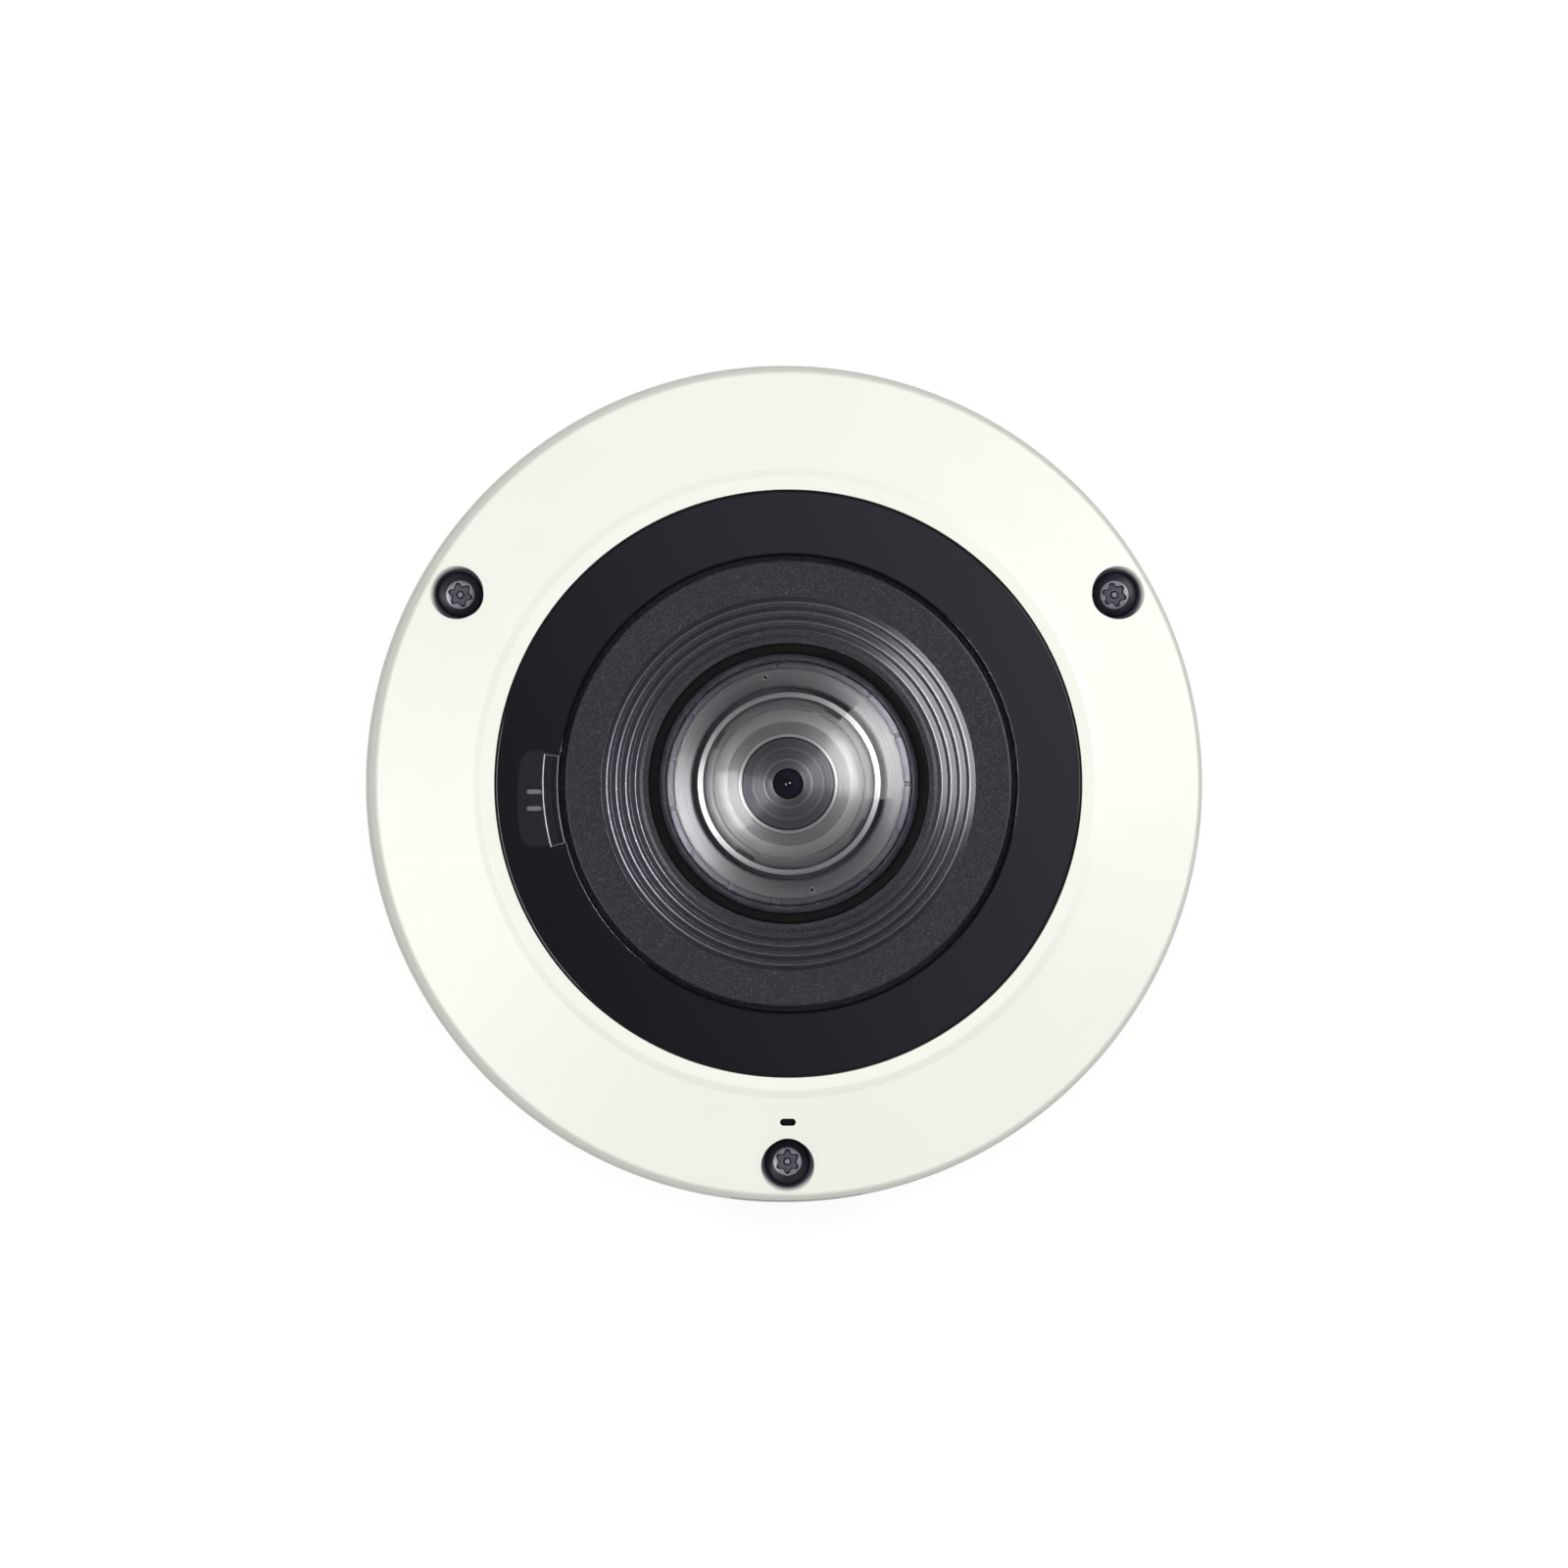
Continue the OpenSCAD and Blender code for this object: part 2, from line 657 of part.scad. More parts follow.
// Room over and under the drive arm
arm_gap = 0.25;
arm_z = carrier_z + carrier_t + arm_gap;
rotor_y = tray_y + rotor_inset;
arm_angle = asin(filter_pitch / 2 / arm_l);
pin_low_y = rotor_y + arm_l * cos(arm_angle);
pin_high_y = rotor_y + arm_l;
drive_slot_y = (pin_low_y + pin_high_y) / 2;
drive_tab_w = drive_pin_d + 2 * drive_play + 2 * tray_wall;
rotor_z = tray_floor_z + carrier_gap;
coil_z = tray_floor_z + coil_d / 2;

// Sensor board, chassis and main board
// Places of the legs that carry the lens holder
leg_x = 14.5;
leg_y = 13.5;
chassis_z = sensor_z - sensor_board_t - leg_h - chassis_t;
board_z = floor_t + post_h;
board_top = board_z + board_t;
// How far the pedestal stands out round the chip, and the network socket over the board's edge
pedestal_edge = 1;
jack_proud = 1;
// Directions of the board posts
post_angles = [45, 135, 225, 315];
post_radius = post_pcd / 2;
pedestal_w = chip_w + 2 * pedestal_edge;
pad_z = board_top + chip_t;
// Places of the memory chips
memory_x = 14;
memory_y = 10;
jack_y = -board_chord - jack_proud;
// Room round the parts that pass through the chassis
notch_fit = 0.5;
terminal_y = -board_chord;
terminal_z = board_top + terminal_h;
switch_y = -board_chord + switch_w / 2 + notch_fit;
// Floor under the wire ways of the power terminal, their depth as a share, and the screw slot
terminal_floor = 1;
terminal_way_share = 0.7;
terminal_slot_w = 0.6;
terminal_slot_h = 0.8;
// Slot of the memory card socket
card_slot_w = 11.4;
card_slot_h = 1;
card_x = 27;
card_y = 8;
// Place of the sensor ribbon's upright part and the lengths of its two ends
ribbon_x = 13;
ribbon_start = 5;
ribbon_foot = 5;

// Infrared lights
light_z = frame_z - led_clear;
// Radius of the pins that hold the light board, as a share of the posts' diameter
led_pin_share = 0.25;
led_pin_r = led_post_d * led_pin_share;
// Directions in which the infrared lights stand
light_angles = [-46, -10, 14, 38, 62, 118, 139, 160, 226];
// Light sensor: size and place outwards from the window's inner edge
light_sensor_w = 3.2;
light_sensor_l = 4;
light_sensor_h = 1;
light_sensor_inset = 5.4;
light_sensor_radius = window_in_r + light_sensor_inset;

// Radius of the sphere whose cap has the given foot radius and height
function cap_radius(foot, height) = (foot * foot + height * height) / (2 * height);
// Height of the underside of the cover's sloped face at a distance from the centre
function face_under(radius) = rim_z + (rim_r - radius) * slope - cover_t;
// Points of an arc in a plane
function arc(cx, cy, r, from, to, count) =
    [for (i = [0 : count])
        let (angle = from + (to - from) * i / count)
        [cx + r * cos(angle), cy + r * sin(angle)]];

// Moves its children to a point given by a distance and a direction
module at(radius, angle) {
    rotate(angle) translate([radius, 0, 0]) children();
}

// Ring with a round hole
module ring(r_out, r_in, z, h) {
    translate([0, 0, z]) difference() {
        cylinder(r = r_out, h = h);
        translate([0, 0, -overrun]) cylinder(r = r_in, h = h + 2 * overrun);
    }
}

// Upright cylinder from one height to another
module rod(r, z_low, z_high) {
    translate([0, 0, z_low]) cylinder(r = r, h = z_high - z_low);
}

// Box centred on x and y that stands on the height z
module block(x, y, z, h) {
    translate([-x / 2, -y / 2, z]) cube([x, y, h]);
}

// Slot with round ends, long side along x
module slot(length, width, z, h) {
    translate([0, 0, z]) linear_extrude(h) union() {
        square([length - width, width], center = true);
        for (side = [-1, 1]) translate([side * (length - width) / 2, 0]) circle(d = width);
    }
}

// Base

// Outer form of the base, drawn in towards the parting line
module base_form() {
    cylinder(r1 = housing_d / 2, r2 = base_top_r, h = base_h);
}

// Box that leaves room for the side cable plug
module notch_space(fit) {
    at(base_top_r - notch_depth + fit, notch_angle)
        translate([0, -notch_w / 2 + fit, -overrun])
        cube([notch_depth + base_draft + overrun, notch_w - 2 * fit, notch_h + overrun - fit]);
}

module base_housing() {
    color("gainsboro") difference() {
        union() {
            difference() {
                base_form();
                rod(base_in_r, floor_t, base_h + overrun);
            }
            for (i = [0 : screw_count - 1])
                at(screw_r, screw_angle + i * 360 / screw_count) rod(boss_d / 2, 0, base_h - boss_drop);
            for (angle = post_angles)
                at(post_radius, angle) rod(post_d / 2, 0, board_z);
        }
        ring(groove_r + gasket_w / 2, groove_r - gasket_w / 2,
            base_h - groove_depth, groove_depth + overrun);
        for (i = [0 : screw_count - 1])
            at(screw_r, screw_angle + i * 360 / screw_count)
                rod(screw_thread_d / 2 + screw_fit, base_h - boss_bore_h, base_h + overrun);
        for (i = [0 : mount_hole_count - 1])
            at(mount_pcd / 2, 90 + i * 360 / mount_hole_count)
                rod(mount_hole_d / 2, -overrun, floor_t + overrun);
        at(entry_radius, entry_angle) rod(entry_d / 2, -overrun, floor_t + overrun);
        at(vent_radius, vent_angle) rod(vent_d / 2, -overrun, floor_t + overrun);
        notch_space(0);
    }
}

module cover_gasket() {
    color("dimgray")
        ring(groove_r + gasket_w / 2 - snap_fit, groove_r - gasket_w / 2 + snap_fit,
            base_h - groove_depth, groove_depth);
}

module cable_grommet() {
    color("black") at(entry_radius, entry_angle) difference() {
        union() {
            rod(entry_d / 2 - snap_fit, snap_fit, floor_t + grommet_flange_t / 2);
            rod(entry_d / 2 + grommet_flange_w, floor_t, floor_t + grommet_flange_t);
        }
        rod(grommet_bore_d / 2, -overrun, floor_t + grommet_flange_t + overrun);
    }
}

module side_plug() {
    color("slategray") intersection() {
        notch_space(snap_fit);
        base_form($fn = fine_segments);
        rod(housing_d, snap_fit, base_h);
    }
}

module breather_vent() {
    color("whitesmoke") at(vent_radius, vent_angle) {
        rod(vent_d / 2 - snap_fit, snap_fit, floor_t + vent_cap_t / 2);
        rod(vent_d / 2 + vent_cap_w, floor_t, floor_t + vent_cap_t);
    }
}

// Cover

// Half section of the cover's outside, down to the centre line
module cover_outline() {
    polygon(concat(
        [[0, foot_z], [base_top_r, foot_z], [rim_r + rim_bevel, rim_z - rim_round]],
        arc(rim_r - rim_round, rim_z - rim_round, rim_round, 0, 90 - atan(slope), 6),
        [[face_r, face_z]],
        [for (a = [15 : 15 : 90])
            [face_r - (face_r - collar_r) * sin(a), face_z + collar_rise * (1 - cos(a))]],
        [[0, collar_z]]
    ));
}

module cover_form() {
    rotate_extrude() cover_outline();
}

// Space under the cover's skin, open downwards
module cover_space() {
    rotate_extrude() polygon([
        [0, foot_z - overrun],
        [base_top_r - foot_w, foot_z - overrun],
        [base_top_r - foot_w, foot_z + foot_h],
        [rim_r - cover_t, foot_z + foot_h + (foot_w - cover_t)],
        [rim_r - cover_t, face_under(rim_r - cover_t)],
        [window_bore_r + cover_t, face_under(window_bore_r + cover_t)],
        [window_bore_r + cover_t, ledge_z],
        [0, ledge_z]
    ]);
}

module cover() {
    color("ivory") difference() {
        union() {
            difference() {
                cover_form();
                cover_space();
            }
            for (i = [0 : screw_count - 1])
                intersection() {
                    at(screw_r, screw_angle + i * 360 / screw_count) rod(post_r, foot_z, face_z);
                    cover_form();
                }
            for (i = [0 : frame_screw_count - 1])
                at(frame_screw_r, i * 360 / frame_screw_count)
                    rod(frame_ear_r, ledge_z, face_under(frame_screw_r) + cover_t / 2);
        }
        rod(window_bore_r, seat_z, collar_z + overrun);
        rod(ledge_r, ledge_z - overrun, collar_z + overrun);
        for (i = [0 : screw_count - 1])
            at(screw_r, screw_angle + i * 360 / screw_count) {
                rod(recess_d / 2, recess_z, collar_z);
                rod(screw_seal_d / 2 + snap_fit, recess_z - screw_seal_t, recess_z + overrun);
                rod(screw_thread_d / 2 + screw_pass, foot_z - overrun, recess_z);
                rod(retainer_d / 2 + snap_fit, foot_z - overrun, foot_z + retainer_t + head_gap);
            }
        for (i = [0 : frame_screw_count - 1])
            at(frame_screw_r, i * 360 / frame_screw_count)
                rod(frame_screw_d / 2 + snap_fit, ledge_z - overrun, frame_z + frame_screw_l + snap_fit);
        rotate(mic_angle - 270) translate([0, -mic_slot_radius, 0])
            slot(mic_slot_l, mic_slot_w, boot_z, collar_z - boot_z);
    }
}

module screw_seals() {
    color("black") for (i = [0 : screw_count - 1])
        at(screw_r, screw_angle + i * 360 / screw_count)
            ring(screw_seal_d / 2, screw_neck_d / 2 + screw_fit, recess_z - screw_seal_t, screw_seal_t);
}

module screw_retainers() {
    color("white") for (i = [0 : screw_count - 1])
        at(screw_r, screw_angle + i * 360 / screw_count)
            ring(retainer_d / 2, screw_neck_d / 2 + screw_fit, foot_z + head_gap, retainer_t);
}

// Star-shaped socket outline with six points
module star() {
    polygon([for (i = [0 : 11])
        let (r = star_d / 2 * (i % 2 == 0 ? 1 : star_valley_share))
        [r * cos(i * 30), r * sin(i * 30)]]);
}

// Cover screw number i, with its pin-in star socket
module cover_screw(i) {
    head_z = recess_z + head_gap;
    thread_z = head_z - screw_l;
    crown_h = head_h - head_side_h;
    crown_r = cap_radius(head_d / 2, crown_h);
    color("#26262a") at(screw_r, screw_angle + i * 360 / screw_count) {
        difference() {
            union() {
                rod(head_d / 2, head_z, head_z + head_side_h);
                intersection() {
                    translate([0, 0, head_z + head_h - crown_r]) sphere(r = crown_r);
                    rod(head_d / 2, head_z + head_side_h, head_z + head_h + overrun);
                }
            }
            translate([0, 0, head_z + head_h - star_depth]) linear_extrude(star_depth + overrun) star();
        }
        rod(star_pin_d / 2, head_z + head_side_h / 2, head_z + head_h - star_depth + star_pin_h);
        rod(screw_neck_d / 2, thread_z + screw_thread_l, head_z + head_side_h / 2);
        rod(screw_thread_d / 2, thread_z, thread_z + screw_thread_l);
    }
}

module cover_screw_1() {
    cover_screw(0);
}

module cover_screw_2() {
    cover_screw(1);
}

module cover_screw_3() {
    cover_screw(2);
}

// Window, bezel and dome

// Room for the clear sensor insert at the window's inner edge
module insert_space(fit) {
    rotate(insert_angle) translate([0, -insert_l / 2 - fit, seat_z])
        cube([window_in_r + insert_w + fit, insert_l + 2 * fit, window_t + seal_t + overrun]);
}

// Window ring with a bevel along both upper edges
module window_form(r_out, r_in) {
    rotate_extrude() polygon([
        [r_in, seat_z + seal_t],
        [r_out, seat_z + seal_t],
        [r_out, window_z - window_bevel],
        [r_out - window_bevel, window_z],
        [r_in + window_in_bevel, window_z],
        [r_in, window_z - window_in_bevel]
    ]);
}

module ir_window() {
    color("#1c1c22") difference() {
        window_form(window_r, window_in_r);
        intersection() {
            insert_space(snap_fit);
            rod(window_in_r + insert_w + snap_fit, seat_z, window_z + overrun);
        }
    }
}

module sensor_insert() {
    color("lightgray") intersection() {
        window_form(window_in_r + insert_w, window_in_r);
        insert_space(0);
    }
}

module window_seals() {
    color("black") {
        ring(ledge_r + window_fit + seal_w, ledge_r + window_fit, seat_z, seal_t);
        ring(window_in_r + window_fit + seal_w, window_in_r + window_fit, seat_z, seal_t);
    }
}

// Half section of the bezel's stepped face, from its outer edge inwards
function step_points() = [for (i = [0 : step_count - 1])
    let (r = step_r - i * step_pitch, z = bezel_z + i * step_rise)
    each [[r, z], [r - step_slope_w, z + step_rise]]];

module bezel() {
    pocket_out_r = pocket_r + pocket_wall;
    color("#36363c") rotate_extrude() polygon(concat(
        [[bezel_flange_r, ledge_z], [bezel_flange_r, seat_z], [bezel_r, seat_z]],
        [[bezel_r, bezel_z - bezel_edge], [bezel_r - bezel_edge, bezel_z]],
        step_points(),
        [[crest_r - crest_w / 2, land_z - crest_rise / 4], [crest_r - crest_w, land_z]],
        [[hole_r, land_z], [hole_r, dome_flange_z], [pocket_r, dome_flange_z]],
        [[pocket_r, clamp_z], [pocket_out_r, clamp_z]],
        [[pocket_out_r, crest_z - bezel_t - step_rise], [step_r - bezel_t, bezel_z - bezel_t]],
        [[bezel_r - bezel_t, bezel_z - bezel_t], [bezel_r - bezel_t, ledge_z]]
    ));
}

module dome() {
    foot = dome_flange_z - dome_flange_t;
    color("lightcyan", 0.4) difference() {
        union() {
            intersection() {
                translate([0, 0, dome_centre_z]) sphere(r = dome_sphere_r);
                rod(dome_r, foot, land_z + dome_rise + overrun);
            }
            rod(dome_flange_r, foot, dome_flange_z);
        }
        intersection() {
            translate([0, 0, dome_centre_z]) sphere(r = dome_sphere_r - dome_t);
            rod(dome_r - dome_t, foot - overrun, land_z + dome_rise);
        }
    }
}

module dome_seal() {
    color("#101012") ring(hole_r - dome_fit, dome_r + dome_fit, dome_flange_z, dome_seal_h);
}

module dome_clamp() {
    color("#2a2a2e") ring(pocket_r - dome_fit, dome_r - dome_t, clamp_z, clamp_t);
}

// Frame under the window, its screws, light shield and microphone

module front_frame() {
    color("#3a3a40") difference() {
        union() {
            ring(bezel_flange_r, frame_in_r, frame_z, frame_t);
            ring(frame_r, ledge_r, frame_z, frame_t);
            for (angle = spoke_angles)
                rotate(angle) translate([frame_in_r + spoke_w / 2, -spoke_w / 2, frame_z])
                    cube([ledge_r - frame_in_r, spoke_w, frame_t]);
            for (i = [0 : frame_screw_count - 1])
                at(frame_screw_r, i * 360 / frame_screw_count) rod(frame_ear_r, frame_z, ledge_z);
        }
        for (i = [0 : frame_screw_count - 1])
            at(frame_screw_r, i * 360 / frame_screw_count)
                rod(frame_screw_d / 2 + snap_fit, frame_z - overrun, ledge_z + overrun);
    }
}

// Machine screw with a round head below and its shank upwards, head face at the height z
module small_screw(d, length, z) {
    rod(d * head_share / 2, z - d * head_height_share, z);
    rod(d / 2, z, z + length);
}

module frame_screws() {
    color("silver") for (i = [0 : frame_screw_count - 1])
        at(frame_screw_r, i * 360 / frame_screw_count) small_screw(frame_screw_d, frame_screw_l, frame_z);
}

module light_shield() {
    color("#222226") ring(shield_in_r + shield_w, shield_in_r, frame_z - shield_h, shield_h);
}

module microphone() {
    color("silver") rotate(mic_angle - 270) translate([0, -boot_y, 0])
        rod(mic_d / 2, boot_z + mic_floor_t, boot_z + mic_floor_t + mic_h);
}

module mic_boot() {
    color("#18181a") rotate(mic_angle - 270) difference() {
        intersection() {
            translate([0, -boot_y, 0]) block(mic_boot_l, mic_boot_w, boot_z, face_z - boot_z);
            rotate_extrude() polygon([
                [0, boot_z - overrun],
                [rim_r, boot_z - overrun],
                [rim_r, face_under(rim_r)],
                [face_r, face_under(face_r)],
                [0, face_under(face_r)]
            ]);
        }
        translate([0, -boot_y, 0]) rod(mic_d / 2 + snap_fit, boot_z + mic_floor_t, face_z + overrun);
    }
}

// Lens

module lens_holder() {
    tube_r = barrel_r + lens_fit + holder_wall;
    color("#4a4a50") difference() {
        union() {
            block(holder_w, holder_w, sensor_z, holder_box_h);
            rod(tube_r, box_z - overlap, flange_z);
            rod(castle_d / 2, tube_z, flange_z);
        }
        rod(barrel_r + lens_fit, box_z, flange_z + overrun);
        rod(rear_r + rear_lip, roof_z - overrun, box_z + overrun);
        translate([-tray_l / 2 - tray_fit, tray_y - tray_fit, sensor_z - overrun])
            cube([tray_l + 2 * tray_fit, tray_w + 2 * tray_fit, roof_z - sensor_z + overrun]);
        for (side = [-1, 1])
            translate([side * leg_x, leg_y, 0])
                rod(lens_screw_d / 2 + snap_fit, sensor_z - overrun, box_z + overrun);
    }
}

module lens_screws() {
    color("silver") for (side = [-1, 1])
        translate([side * leg_x, leg_y, 0]) {
            rod(lens_screw_d / 2, chassis_z + chassis_t / 2, box_z);
            rod(lens_screw_d * head_share / 2, box_z, box_z + lens_screw_d * head_height_share);
        }
}

module lens_barrel() {
    color("#2c2c30") rotate_extrude() polygon([
        [barrel_r, box_z],
        [barrel_r, barrel_z - barrel_edge],
        [barrel_r - barrel_edge, barrel_z],
        [ring_r + lens_fit, barrel_z],
        [ring_r + lens_fit, ring_z],
        [front_r + lens_fit, ring_z],
        [front_r + lens_fit, spacer_z],
        [middle_r + lens_fit, spacer_z],
        [middle_r + lens_fit, stop_z],
        [rear_r + lens_fit, stop_z],
        [rear_r + lens_fit, rear_z],
        [rear_r - rear_lip, rear_z],
        [rear_r - rear_lip, box_z]
    ]);
}

// Glass with a domed face over a straight edge
module domed_glass(r, edge_z, sphere_r, centre_z) {
    intersection() {
        translate([0, 0, centre_z]) sphere(r = sphere_r);
        rod(r, edge_z, centre_z + sphere_r + overrun);
    }
}

module front_glass() {
    color("lightsteelblue", 0.5) difference() {
        domed_glass(front_r, front_back_z, front_sphere_r, front_centre_z);
        intersection() {
            translate([0, 0, hollow_centre_z]) sphere(r = hollow_sphere_r);
            rod(hollow_r, front_back_z - overrun, barrel_z + front_glass_crown);
        }
    }
}

module glass_ring() {
    color("silver") difference() {
        ring(ring_r, front_r - ring_lip_w, ring_z, ring_t);
        translate([0, 0, front_centre_z]) sphere(r = front_sphere_r + lens_fit);
        for (i = [0 : key_count - 1])
            rotate(key_angle + i * 360 / key_count)
                wedge(ring_r - key_wall, key_span, ring_z - overrun, ring_t + 2 * overrun);
    }
}

// Slice of a disc, centred on the x direction
module wedge(r, span, z, h) {
    translate([0, 0, z]) linear_extrude(h) polygon(concat([[0, 0]], arc(0, 0, r, -span / 2, span / 2, 6)));
}

module bright_spacer() {
    color("gainsboro") rotate_extrude() polygon([
        [front_r, spacer_z],
        [front_r, front_back_z],
        [hollow_r, front_back_z],
        [middle_r + lens_fit, spacer_z]
    ]);
}

module middle_glass() {
    color("lightsteelblue", 0.5)
        domed_glass(middle_r, middle_z, middle_sphere_r, middle_centre_z);
}

module stop_ring() {
    last = len(stop_step_shares) - 1;
    color("#222226") rotate_extrude() polygon(concat(
        [[middle_r, stop_z], [middle_r, middle_z]],
        [for (i = [0 : last]) each [
            [middle_r * stop_step_shares[i], middle_z - stop_h * i / (last + 1)],
            [middle_r * stop_step_shares[i], middle_z - stop_h * (i + 1) / (last + 1)]
        ]]
    ));
}

module rear_glass() {
    color("#3a4a6a") rod(rear_r, rear_z, stop_z);
}

module lock_ring() {
    color("silver") difference() {
        ring(lock_d / 2, lock_in_d / 2, flange_z, lock_t);
        for (i = [0, 1])
            at(spanner_radius, spanner_angle + i * 180)
                rod(spanner_d / 2, flange_z - overrun, lock_z + overrun);
    }
}

module castle_nut() {
    color("#6a6a70") difference() {
        ring(castle_d / 2, lock_d / 2 + lens_fit, flange_z, lock_t + castle_proud);
        for (i = [0 : castle_count - 1])
            rotate(i * 360 / castle_count) translate([0, -castle_slot_w / 2, lock_z - lock_t / 2])
                cube([castle_d, castle_slot_w, lock_t + castle_proud]);
    }
}

// Filter switcher

module filter_tray() {
    inner_y = tray_w - 2 * tray_wall;
    color("#2e2e34") {
        difference() {
            translate([-tray_l / 2, tray_y, tray_z]) cube([tray_l, tray_w, roof_z - tray_z]);
            translate([-tray_l / 2 + tray_wall, tray_y + tray_wall, tray_floor_z])
                cube([tray_l - 2 * tray_wall, inner_y, roof_z]);
            block(tray_window, tray_window, tray_z - overrun, tray_floor_t + 2 * overrun);
        }
        for (y = [-carrier_w / 2, carrier_w / 2 - rail_w])
            translate([-tray_l / 2 + tray_wall, y, tray_floor_z])
                cube([tray_l - 2 * tray_wall, rail_w, rail_h]);
        translate([0, rotor_y, 0]) rod(rotor_shaft_d / 2, tray_floor_z, arm_z + arm_t + arm_gap);
    }
}

module filter_carrier() {
    tab_y = drive_slot_y - drive_slot_l / 2 - tray_wall;
    color("#3c3c42") translate([carrier_x, 0, 0]) difference() {
        union() {
            block(carrier_l, carrier_w, carrier_z, carrier_t);
            translate([-drive_tab_w / 2, tab_y, carrier_z])
                cube([drive_tab_w, overlap - carrier_w / 2 - tab_y, carrier_t]);
        }
        for (side = [-1, 1])
            translate([side * filter_pitch / 2, 0, 0]) {
                block(filter_w, filter_w, carrier_z + carrier_t - filter_t, filter_t + overrun);
                block(filter_w - 2 * filter_ledge, filter_w - 2 * filter_ledge,
                    carrier_z - overrun, carrier_t + 2 * overrun);
            }
        translate([0, drive_slot_y, 0]) rotate(90)
            slot(drive_slot_l, drive_pin_d + 2 * drive_play, carrier_z - overrun, carrier_t + 2 * overrun);
    }
}

module filter_glasses() {
    color("#7090a0") for (side = [-1, 1])
        translate([carrier_x + side * filter_pitch / 2, 0, 0])
            block(filter_w - 2 * snap_fit, filter_w - 2 * snap_fit,
                carrier_z + carrier_t - filter_t, filter_t);
}

module filter_rotor() {
    color("#707078") translate([0, rotor_y, 0]) difference() {
        union() {
            rod(rotor_d / 2, rotor_z, arm_z + arm_t);
            rotate(90 - arm_angle) {
                translate([0, -arm_w / 2, arm_z]) cube([arm_l, arm_w, arm_t]);
                translate([arm_l, 0, 0]) {
                    rod(arm_w / 2, arm_z, arm_z + arm_t);
                    rod(drive_pin_d / 2, carrier_z + carrier_gap, arm_z + arm_t);
                }
            }
        }
        rod(rotor_shaft_d / 2 + rotor_fit, rotor_z - overrun, arm_z + arm_t + overrun);
    }
}

module filter_coil() {
    pole_x = rotor_d / 2 + pole_gap;
    color("chocolate") translate([pole_x, rotor_y, coil_z]) rotate([0, 90, 0]) {
        cylinder(d = core_d, h = coil_l + 2 * core_d);
        translate([0, 0, core_d]) cylinder(d = coil_d, h = coil_l);
    }
}

// Image sensor

module sensor_board() {
    color("seagreen") difference() {
        block(holder_w, holder_w, sensor_z - sensor_board_t, sensor_board_t);
        for (side = [-1, 1])
            translate([side * leg_x, leg_y, 0])
                rod(lens_screw_d / 2 + snap_fit, sensor_z - sensor_board_t - overrun, sensor_z + overrun);
    }
}

module image_sensor() {
    color("#202838") block(sensor_w, sensor_w, sensor_z, sensor_t);
}

module sensor_ribbon() {
    top = sensor_z - sensor_board_t;
    color("sandybrown") translate([0, ribbon_w / 2, 0]) rotate([90, 0, 0])
        linear_extrude(ribbon_w) polygon([
            [ribbon_x - ribbon_start, top],
            [ribbon_x + ribbon_t, top],
            [ribbon_x + ribbon_t, board_top + ribbon_t],
            [ribbon_x + ribbon_foot, board_top + ribbon_t],
            [ribbon_x + ribbon_foot, board_top],
            [ribbon_x, board_top],
            [ribbon_x, top - ribbon_t],
            [ribbon_x - ribbon_start, top - ribbon_t]
        ]);
}

// Chassis

// Disc with a straight lower edge
module chord_plate(r, chord, z, h) {
    intersection() {
        rod(r, z, z + h);
        translate([-r, -chord, z - overrun]) cube([2 * r, chord + r, h + 2 * overrun]);
    }
}

module chassis() {
    color("lightslategray") difference() {
        union() {
            chord_plate(chassis_d / 2, chassis_chord, chassis_z, chassis_t);
            for (x = [-leg_x, leg_x], y = [-leg_y, leg_y])
                translate([x, y, 0]) rod(leg_d / 2, chassis_z, chassis_z + chassis_t + leg_h);
            translate([0, chip_offset, 0])
                block(pedestal_w, pedestal_w, pad_z + pad_t, chassis_z - pad_z - pad_t / 2);
        }
        for (side = [-1, 1])
            translate([side * leg_x, leg_y, 0])
                rod(lens_screw_d / 2 + snap_fit, chassis_z - overrun, chassis_z + chassis_t + leg_h + overrun);
        for (angle = post_angles)
            at(post_radius, angle)
                rod(chassis_screw_d / 2 + snap_fit, chassis_z - overrun, chassis_z + chassis_t + overrun);
        for (angle = spoke_angles)
            at(led_post_radius, angle)
                rod(led_pin_r + snap_fit, chassis_z - overrun, chassis_z + chassis_t + overrun);
        translate([ribbon_x - notch_fit, -ribbon_w / 2 - notch_fit, chassis_z - overrun])
            cube([ribbon_t + 2 * notch_fit, ribbon_w + 2 * notch_fit, chassis_t + 2 * overrun]);
        translate([-jack_offset, 0, 0])
            notch_cut(jack_w, jack_y + jack_l);
        translate([terminal_offset, 0, 0])
            notch_cut(terminal_w, terminal_y + terminal_l);
    }
}

// Notch from the chassis plate's straight edge in to the height y
module notch_cut(width, y) {
    translate([-width / 2 - notch_fit, -chassis_d / 2, chassis_z - overrun])
        cube([width + 2 * notch_fit, chassis_d / 2 + y + notch_fit, chassis_t + 2 * overrun]);
}

module chassis_screws() {
    color("silver") for (angle = post_angles)
        at(post_radius, angle) {
            top = chassis_z + chassis_t;
            rod(chassis_screw_d / 2, top - chassis_screw_l, top);
            rod(chassis_screw_d * head_share / 2, top, top + chassis_screw_d * head_height_share);
        }
}

module standoffs() {
    color("goldenrod") for (angle = post_angles)
        at(post_radius, angle) difference() {
            translate([0, 0, board_top])
                cylinder(d = standoff_af / cos(30), h = chassis_z - board_top, $fn = 6);
            rod(chassis_screw_d / 2 + snap_fit, chassis_z + chassis_t - chassis_screw_l - overlap,
                chassis_z + overrun);
        }
}

// Main board

module main_board() {
    color("darkgreen") chord_plate(board_d / 2, board_chord, board_z, board_t);
}

